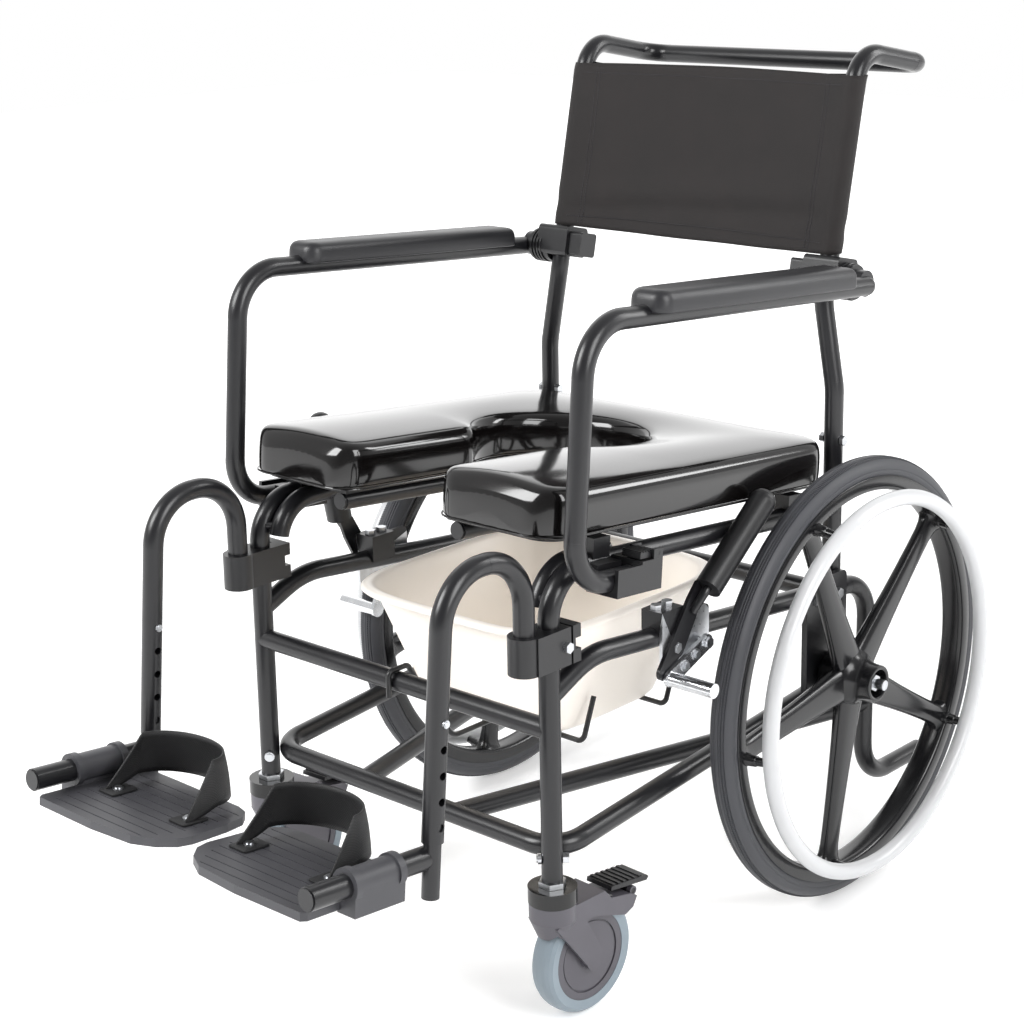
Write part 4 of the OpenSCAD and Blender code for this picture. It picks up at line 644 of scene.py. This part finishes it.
def sling_sag(u, t):
    """Depth of the cloth's hollow across (u from -1 to 1) and up (t from 0 to 1), with its slack folds."""
    hollow = SLING_SAG * (1 - u * u) * (0.55 + 0.45 * math.sin(math.pi * (0.15 + 0.8 * t)))
    edge = 1 - u ** 4
    fold = 3.2 * math.exp(-((t - 0.16 - 0.05 * u) / 0.055) ** 2) * edge
    dip = -2.6 * math.exp(-((t - 0.27 - 0.06 * u) / 0.07) ** 2) * edge
    pull = 1.3 * math.sin(9 * u + 7 * t) * math.exp(-3 * t) * edge
    # Gathers that run in from the sleeves at the lower corners, and slack along both hems.
    low_corner = math.exp(-(t / 0.24) ** 2) * math.exp(-((1 - abs(u)) / 0.3) ** 2)
    gather = 1.8 * math.sin(52 * t + 5 * u) * low_corner * edge
    slack = 1.6 * math.sin(6.5 * u + 1) * math.exp(-((1 - t) / 0.1) ** 2) * edge
    return hollow + fold + dip + pull + gather + slack


sling_rows, panel_cols = 40, 56
sling_points, sling_map = [], []
for i in range(sling_rows + 1):
    t = i / sling_rows
    z = SLING_LOW + SLING_H * t
    cx, cy = cane_at(z)
    # From the seam on the back of the panel, behind the cane, round its outer side and across the front.
    half = []
    for k in range(5):
        f = k / 5
        start = (cx - SEAM_IN, cy - SLEEVE_R + sling_sag((cx - SEAM_IN) / cx, t) + 1.5)
        touch = (cx + SLEEVE_R * math.cos(SLEEVE_FROM), cy + SLEEVE_R * math.sin(SLEEVE_FROM))
        half.append((start[0] + (touch[0] - start[0]) * f, start[1] + (touch[1] - start[1]) * f))
    for k in range(19):
        a = SLEEVE_FROM - (SLEEVE_FROM + math.pi / 2) * k / 18
        pucker = 1 + 0.06 * math.sin(34 * t) * math.exp(-((t - 0.12) / 0.12) ** 2) * max(0, math.cos(a))
        half.append((cx + SLEEVE_R * pucker * math.cos(a), cy + SLEEVE_R * pucker * math.sin(a)))
    panel = []
    for k in range(1, panel_cols):
        u = -1 + 2 * k / panel_cols
        panel.append((u * cx, cy - SLEEVE_R + sling_sag(u, t)))
    section = [(-x, y) for x, y in half] + panel + half[::-1]
    run = 0
    for k, (x, y) in enumerate(section):
        if k:
            run += math.dist(section[k - 1], (x, y))
        u = x / cx
        droop = -4.5 * (1 - t) ** 3 * max(0, 1 - u * u) + 2.0 * t ** 6 * max(0, 1 - u * u)
        sling_points.append((x, y, z + droop))
        sling_map.append((run / 1000, z / 1000))
n = len(section)
sling_faces = [(i * n + k, i * n + k + 1, (i + 1) * n + k + 1, (i + 1) * n + k)
               for i in range(sling_rows) for k in range(n - 1)]


def cloth_piece(name, points, faces, spread, thick_mm, material, body):
    """A sheet with its own map in metres, thickened about its face."""
    mesh = bpy.data.meshes.new(name)
    mesh.from_pydata([at(*p) for p in points], [], faces)
    layer = mesh.uv_layers.new(name="cloth")
    for loop in mesh.loops:
        layer.data[loop.index].uv = spread[loop.vertex_index]
    for face in mesh.polygons:
        face.use_smooth = True
    piece = link(name, mesh, material, body)
    wall = piece.modifiers.new("thickness", "SOLIDIFY")
    wall.thickness = thick_mm / 1000
    wall.offset = 0
    return piece


sling = cloth_piece("sling_back", sling_points, sling_faces, sling_map, 1.3, nylon_cloth, "frame")
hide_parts("back_sling")


def on_sling(x, t):
    """A point just proud of the front of the sling, x out from the middle and t of the way up."""
    cx, cy = cane_at(SLING_LOW + SLING_H * t)
    return (x, cy - SLEEVE_R + sling_sag(x / cx, t) - 0.75, SLING_LOW + SLING_H * t)


# Thread of the sling's seams: the cloth's own black nylon, a little shinier.
thread_nylon = mottled("black_nylon_thread", "#17151a", "#242127", 4, (0.4, 0.55), 0.5, 0.01, 0.2)
seam_rows = [[on_sling(side * (CANE_X - SEAM_IN + d), k / 40) for k in range(1, 40)]
             for side in (-1, 1) for d in (0, 5)]
seam_rows += [[on_sling(190 * u / 60, t) for u in range(-60, 61)] for t in (0.06, 0.945)]
stitches("sling_seams", seam_rows, 3.4, "frame", thread_nylon)

# Arm pads: moulded round the arm tube, flat topped with rolled edges

ARM_X, ARM_TILT = 254.0, math.radians(4)
PAD_W, PAD_LEN = 25.0, 347.0
# The pad ends 54 mm ahead of the cane, at the height of the arm's pivot.
PAD_END_Y = CANE_Y + CANE_LEAN * 24 / CANE_RISE - 54


def on_arm(x, y, z):
    """A point beside the arm tube, y forward from the rear end of the pad, in axle millimetres."""
    base_z = 745.6 - math.tan(ARM_TILT) * (PAD_END_Y + 447)
    return (ARM_X + x, PAD_END_Y - y * math.cos(ARM_TILT) - z * -math.sin(ARM_TILT),
            base_z + y * math.sin(ARM_TILT) + z * math.cos(ARM_TILT))


def pad_outline(inset):
    """Rounded plan of the pad, drawn in by inset."""
    points = []
    for cx, cy, r, a0 in ((1, 1, 17, 0), (-1, 1, 17, 90), (-1, -1, 7, 180), (1, -1, 7, 270)):
        r_in = max(r - inset, 1.5)
        x = cx * (PAD_W - inset - r_in)
        y = PAD_LEN - inset - r_in if cy > 0 else inset + r_in
        for k in range(9):
            a = math.radians(a0 + 90 * k / 8)
            points.append((x + r_in * math.cos(a), y + r_in * math.sin(a)))
    return points


ARM_CHANNEL_R = 11.3
# How far the pad's outline is drawn in at each height over the middle of the tube.
PAD_LEVELS = ((1.6, 3.6), (0.4, 4.4), (0, 6), (0, 11), (0.25, 16), (0.8, 19), (1.9, 21.6), (3.6, 23.8),
              (6, 25.4), (9, 26.4), (13, 26.9), (18, 27))
for name, sign in SIDES:
    rings = [[on_arm(x, y, z) for x, y in pad_outline(inset)] for inset, z in PAD_LEVELS]
    points, faces = loft(rings)
    pad = solid(name + "_arm_cushion", mirrored(points, sign), faces, skin_foam, name + "_arm",
                "moulded_black", 50)
    points, faces = bar([on_arm(0, -20, 0), on_arm(0, 420, 0)], ARM_CHANNEL_R, 48)
    channel = solid("channel", mirrored(points, sign), faces, skin_foam, name + "_arm", "moulded_black")
    cut = pad.modifiers.new("channel", "BOOLEAN")
    cut.operation = "DIFFERENCE"
    cut.object = channel
    shade(baked(pad), 50)
    bpy.data.objects.remove(channel)
    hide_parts(name + "_arm_pad")

# Heel loops: webbing that stands behind the heel, folded flat and screwed down at both ends

def on_foot(x, y, z):
    """A point in the footplate's own frame, in axle millimetres."""
    return (BAR_AT[0] + x, BAR_AT[1] + y * math.cos(FOOT_RISE) + z * math.sin(FOOT_RISE),
            BAR_AT[2] - y * math.sin(FOOT_RISE) + z * math.cos(FOOT_RISE))


LOOP_IN, LOOP_OUT, LOOP_TOP, LOOP_H, HEEL_Y = -170.0, -42.0, -15.7, 47.0, -54.0
LOOP_FRONT = -94.0
LOOP_RUN = HEEL_Y - LOOP_FRONT
loop_mid, loop_r = (LOOP_IN + LOOP_OUT) / 2, (LOOP_OUT - LOOP_IN) / 2
loop_total = 2 * LOOP_RUN + math.pi * loop_r * 0.82


def loop_plan(s):
    """A point of the band's path over the plate, s from its inner end."""
    if s < LOOP_RUN:
        return Vector((LOOP_IN, LOOP_FRONT + s))
    if s > loop_total - LOOP_RUN:
        return Vector((LOOP_OUT, LOOP_FRONT + loop_total - s))
    q = math.pi * (s - LOOP_RUN) / (loop_total - 2 * LOOP_RUN)
    return Vector((loop_mid - loop_r * math.cos(q), HEEL_Y + 0.74 * loop_r * math.sin(q)))


loop_cols, loop_rows = 72, 8
loop_points, loop_map = [], []
for i in range(loop_cols + 1):
    s = loop_total * i / loop_cols
    p = loop_plan(s)
    run = (loop_plan(min(loop_total, s + 1)) - loop_plan(max(0, s - 1))).normalized()
    away = Vector((run.y, -run.x))
    rise = min(1, max(0, min(s, loop_total - s) / 40))
    for k in range(loop_rows + 1):
        f = k / loop_rows
        lean = 8 * rise * f - 1.3
        belly = 1.2 * math.sin(math.pi * f) * rise
        q = p + away * (lean - belly)
        loop_points.append((q.x, q.y, LOOP_TOP + 1 + 9 * rise * rise + (2.6 + (LOOP_H - 2.6) * rise) * f))
        loop_map.append((s / 1000, f * LOOP_H / 1000))
m = loop_rows + 1
TAB_MIDS, TAB_Y = (LOOP_IN + 6, LOOP_OUT - 6), -84.0
# Moulded-in fold of the band's ends, too small for its threads to show.
webbing_flat = mottled("folded_webbing", "#141415", "#1d1d1f", 6, (0.5, 0.65), 1.2, 0.05, 0.4)


def tab_plan(inset):
    """Rounded outline of a folded end, drawn in by inset."""
    points = []
    for cx, cy, a0 in ((1, 1, 0), (-1, 1, 90), (-1, -1, 180), (1, -1, 270)):
        for k in range(5):
            a = math.radians(a0 + 90 * k / 4)
            points.append((cx * 10 + (3 - inset) * math.cos(a), cy * 14 + (3 - inset) * math.sin(a)))
    return points


# How far a folded end is drawn in at each height over the plate.
TAB_LEVELS = ((1.2, 0), (0.2, 0.3), (0, 1), (0.2, 1.9), (1.2, 2.3))
loop_faces = [(i * m + k, (i + 1) * m + k, (i + 1) * m + k + 1, i * m + k + 1)
              for i in range(loop_cols) for k in range(loop_rows)]
for name, sign in SIDES:
    band = cloth_piece(name + "_heel_band", mirrored([on_foot(*p) for p in loop_points], sign), loop_faces,
                       loop_map, 2.0, webbing, name + "_foot")
    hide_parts(name + "_heel_loop")
    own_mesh(band)
    tabs = joined(*[loft([[on_foot(mid + x, TAB_Y + y, LOOP_TOP + z) for x, y in tab_plan(inset)]
                          for inset, z in TAB_LEVELS]) for mid in TAB_MIDS])
    solid(name + "_heel_tabs", mirrored(tabs[0], sign), tabs[1], webbing_flat, name + "_foot", "webbing", 40)
    spots = [on_foot(mid, TAB_Y, LOOP_TOP + 2.4) for mid in TAB_MIDS]
    up = (0, math.sin(FOOT_RISE), math.cos(FOOT_RISE))
    bolts(name + "_heel_screws", mirrored(spots, sign), [up] * 2, name + "_foot", 4.2, 2.6, 20, 6.2)

# Bolts along the links of the wheel locks; the two locks rest at opposite ends of their throw

LOCK_LINK, LINK_REACH, LINK_FACE = Vector((-238.0, 362.0)), Vector((-62.0, -24.0)), 244.0
LEVER_THROW, LINK_SHARE = 64, 0.7
for name, sign, thrown in (("left", 1, 0), ("right", -1, LEVER_THROW * LINK_SHARE)):
    turn = Matrix.Rotation(math.radians(thrown), 2)
    spots = [LOCK_LINK + turn @ (LINK_REACH * f) for f in (0.33, 0.64)]
    bolts(name + "_link_bolts", [(sign * LINK_FACE, y, z) for y, z in spots], [(sign, 0, 0)] * 2,
          name + "_shoe", 4.6, 3.6, 6, 6.4)

# Rear wheels: a five-spoked moulded wheel, a ribbed solid tyre and a dipped hand rim

WHEEL = (271.5, 0.0, 260.0)
TYRE_R, TYRE_HALF = 245.0, 15.0
HANDRIM_R, HANDRIM_OUT, HANDRIM_HALF = 218.7, 43.0, 9.3
FIRST_SPOKE = -101.0

# Bands of fine cross ribs, each at its offset across the tread and its radius.
KNURL_BANDS = ((3.9, 259.3), (-3.9, 259.3), (6.8, 258.2), (-6.8, 258.2))
KNURL_COUNT = 540
# Size of one rib, in metres.
KNURL_RIB = (0.0026, 0.001, 0.001)
# Ribs round the crown, cut by narrow grooves at these angles from the middle of the tread.
GROOVES = (9, 21, 33, 46)
tyre_profile = []
for k in range(120):
    a = -180 + 3 * k
    dip = max((0.9 if abs(abs(a) - g) < 1 else 0) for g in GROOVES)
    bead = 0.7 if 84 < abs(a) < 92 else 0
    tyre_profile.append((TYRE_R + (TYRE_HALF - dip - bead) * math.cos(math.radians(a)),
                         (TYRE_HALF - dip - bead) * math.sin(math.radians(a))))

BED_R = 15.3
bed = [(TYRE_R - BED_R * math.cos(math.radians(q)), BED_R * math.sin(math.radians(q)))
       for q in range(-64, 65, 8)]
rim_profile = bed + [(239, 14.6), (238.2, 15), (227, 15), (224.2, 14.2), (222.4, 12), (221.6, 8), (221.3, 0),
                     (221.6, -8), (222.4, -12), (224.2, -14.2), (227, -15), (238.2, -15), (239, -14.6)]
hub_profile = [(6.05, -33.2), (20, -33.2), (21.4, -32.6), (22, -31), (22, -16), (23.5, -13), (28, -10),
               (33, -7.5), (35, -4), (35, 4), (33, 8.5), (28.5, 13), (25, 17.5), (23, 22), (22, 28),
               (21.6, 36.5), (21.2, 37.9), (20.2, 38.5), (17.8, 38.5), (16.6, 37.8), (16.2, 36.6),
               (16, 24.5), (6.05, 24.5)]
# Width and thickness of a spoke at each radius, with a flare where it meets the rim.
SPOKE = ((14, 40, 22), (30, 43, 21.5), (45, 40.5, 20.5), (70, 36.5, 19), (105, 32, 17.5), (145, 28.5, 16.2),
         (180, 26.6, 15.4), (200, 26.4, 15.4), (211, 28.4, 16.6), (217, 32, 18.8), (221, 38, 22),
         (224, 45, 25))
# Roundness of a spoke's section: 1 is an ellipse and less is squarer.
SPOKE_SQUARE = 0.72
# Offset, radius and lean of a hand rim post at each step, and the radius it stands at.
PEG = ((9, 7.6, 0), (16, 7.4, 0), (17, 6.6, 0), (26, 6.2, -1.5), (27, 5.2, -1.8), (37, 4.8, -3.4))
PEG_AT = 223.5


def spoke(angle):
    """One spoke, of a rounded section, out from the hub at an angle in degrees."""
    out = Vector((0, math.cos(math.radians(angle)), math.sin(math.radians(angle))))
    side = Vector((0, -out.z, out.y))
    rings = []
    for r, width, thick in SPOKE:
        ring = []
        for k in range(32):
            a = 2 * math.pi * k / 32
            c, s = math.cos(a), math.sin(a)
            u = math.copysign(abs(c) ** SPOKE_SQUARE, c) * width / 2
            v = math.copysign(abs(s) ** SPOKE_SQUARE, s) * thick / 2
            p = Vector(WHEEL) + out * r + side * u + Vector((v, 0, 0))
            ring.append(tuple(p))
        rings.append(ring)
    return loft(rings)


def peg(angle):
    """A stepped post that carries the hand rim."""
    out = Vector((0, math.cos(math.radians(angle)), math.sin(math.radians(angle))))
    foot = Vector(WHEEL) + out * PEG_AT
    rings = []
    for x, r, reach in PEG:
        middle = foot + out * reach + Vector((x, 0, 0))
        ring = []
        for k in range(16):
            a = 2 * math.pi * k / 16
            side = Vector((0, -out.z, out.y))
            ring.append(tuple(middle + out * r * math.cos(a) + side * r * math.sin(a)))
        rings.append(ring)
    return loft(rings)


for name, sign in SIDES:
    spoke_angles = [FIRST_SPOKE + 72 * k for k in range(5)]
    parts = [turned(rim_profile, WHEEL, 180), turned(hub_profile, WHEEL, 72)]
    parts += [spoke(a) for a in spoke_angles] + [peg(a) for a in spoke_angles]
    points, faces = joined(*parts)
    spoked = solid(name + "_mag_wheel", mirrored(points, sign), faces, wheel_nylon, name + "_wheel",
                   "wheel_plastic", 40)
    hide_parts(name + "_wheel")
    points, faces = turned(tyre_profile, WHEEL, 240)
    tread = solid(name + "_ribbed_tyre", mirrored(points, sign), faces, tyre_rubber, name + "_wheel",
                  "tyre", 60)
    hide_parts(name + "_tyre")
    knurl, outward = [], []
    for offset, radius in KNURL_BANDS:
        for k in range(KNURL_COUNT):
            a = 2 * math.pi * k / KNURL_COUNT
            outward.append((0, math.cos(a), math.sin(a)))
            knurl.append((sign * (WHEEL[0] + offset), WHEEL[1] + radius * math.cos(a),
                          WHEEL[2] + radius * math.sin(a)))
    repeated(name + "_tyre_knurl", knurl, [], ribs, {"Rib Size": KNURL_RIB, "Finish": tyre_rubber},
             name + "_wheel", outward)
    ring_profile = [(HANDRIM_R + HANDRIM_HALF * math.cos(2 * math.pi * k / 28),
                     HANDRIM_OUT + HANDRIM_HALF * math.sin(2 * math.pi * k / 28)) for k in range(28)]
    points, faces = turned(ring_profile, WHEEL, 192)
    hoop = solid(name + "_hand_hoop", mirrored(points, sign), faces, white_dip, name + "_wheel",
                 "handrim", 60)
    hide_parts(name + "_handrim")

# Pan: a deep drawn tub with rounded corners and a rolled lip

PAN_Y, PAN_Z, PAN_H, PAN_HALF, PAN_BASE = -237.5, 244.3, 146.0, 150.0, 107.0
PAN_STRETCH, PAN_WALL, PAN_SQUARE = 12.5, 3.0, 0.42


def pan_grow(z):
    """Half the pan's outer width at a height."""
    return PAN_BASE + (PAN_HALF - PAN_BASE) * z / PAN_H


# Half width and height of each ring, from the middle of the base, up the wall, over the lip and down inside.
pan_levels = [(PAN_BASE - 60, 0.6), (PAN_BASE - 10, 0.2), (PAN_BASE - 5, 0.6), (PAN_BASE - 1.5, 2.2),
              (pan_grow(5), 5.5)]
pan_levels += [(pan_grow(z), z) for z in (10, 25, 50, 75, 100, 125, PAN_H - 12)]
pan_levels += [(pan_grow(PAN_H - 9) + 0.5, PAN_H - 9)]
pan_levels += [(PAN_HALF + out, PAN_H - down) for out, down in (
    (4, 8.2), (7.4, 7.4), (8.8, 5.6), (8.8, 3.4), (7.2, 1.2), (4, 0.2), (0.5, 0.6), (-2, 2),
    (-PAN_WALL - 0.6, 5))]
pan_levels += [(pan_grow(z) - PAN_WALL, z) for z in (PAN_H - 12, 125, 100, 75, 50, 25, 14)]
pan_levels += [(pan_grow(8) - PAN_WALL - 1.5, 8), (PAN_BASE - 7, 4.8), (PAN_BASE - 12, 3.4),
               (PAN_BASE - 60, 3.2)]
rings = []
for half, z in pan_levels:
    stretch = max(0, PAN_STRETCH * (half - PAN_BASE) / (PAN_HALF - PAN_BASE))
    ring = []
    for k in range(128):
        a = 2 * math.pi * k / 128
        c, s = math.cos(a), math.sin(a)
        ring.append((half * math.copysign(abs(c) ** PAN_SQUARE, c),
                     PAN_Y + (half + stretch) * math.copysign(abs(s) ** PAN_SQUARE, s), PAN_Z + z))
    rings.append(ring)
tub = solid("pan_tub", *loft(rings), pan_plastic, "pan", "pan_plastic", 60)
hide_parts("commode_pan")
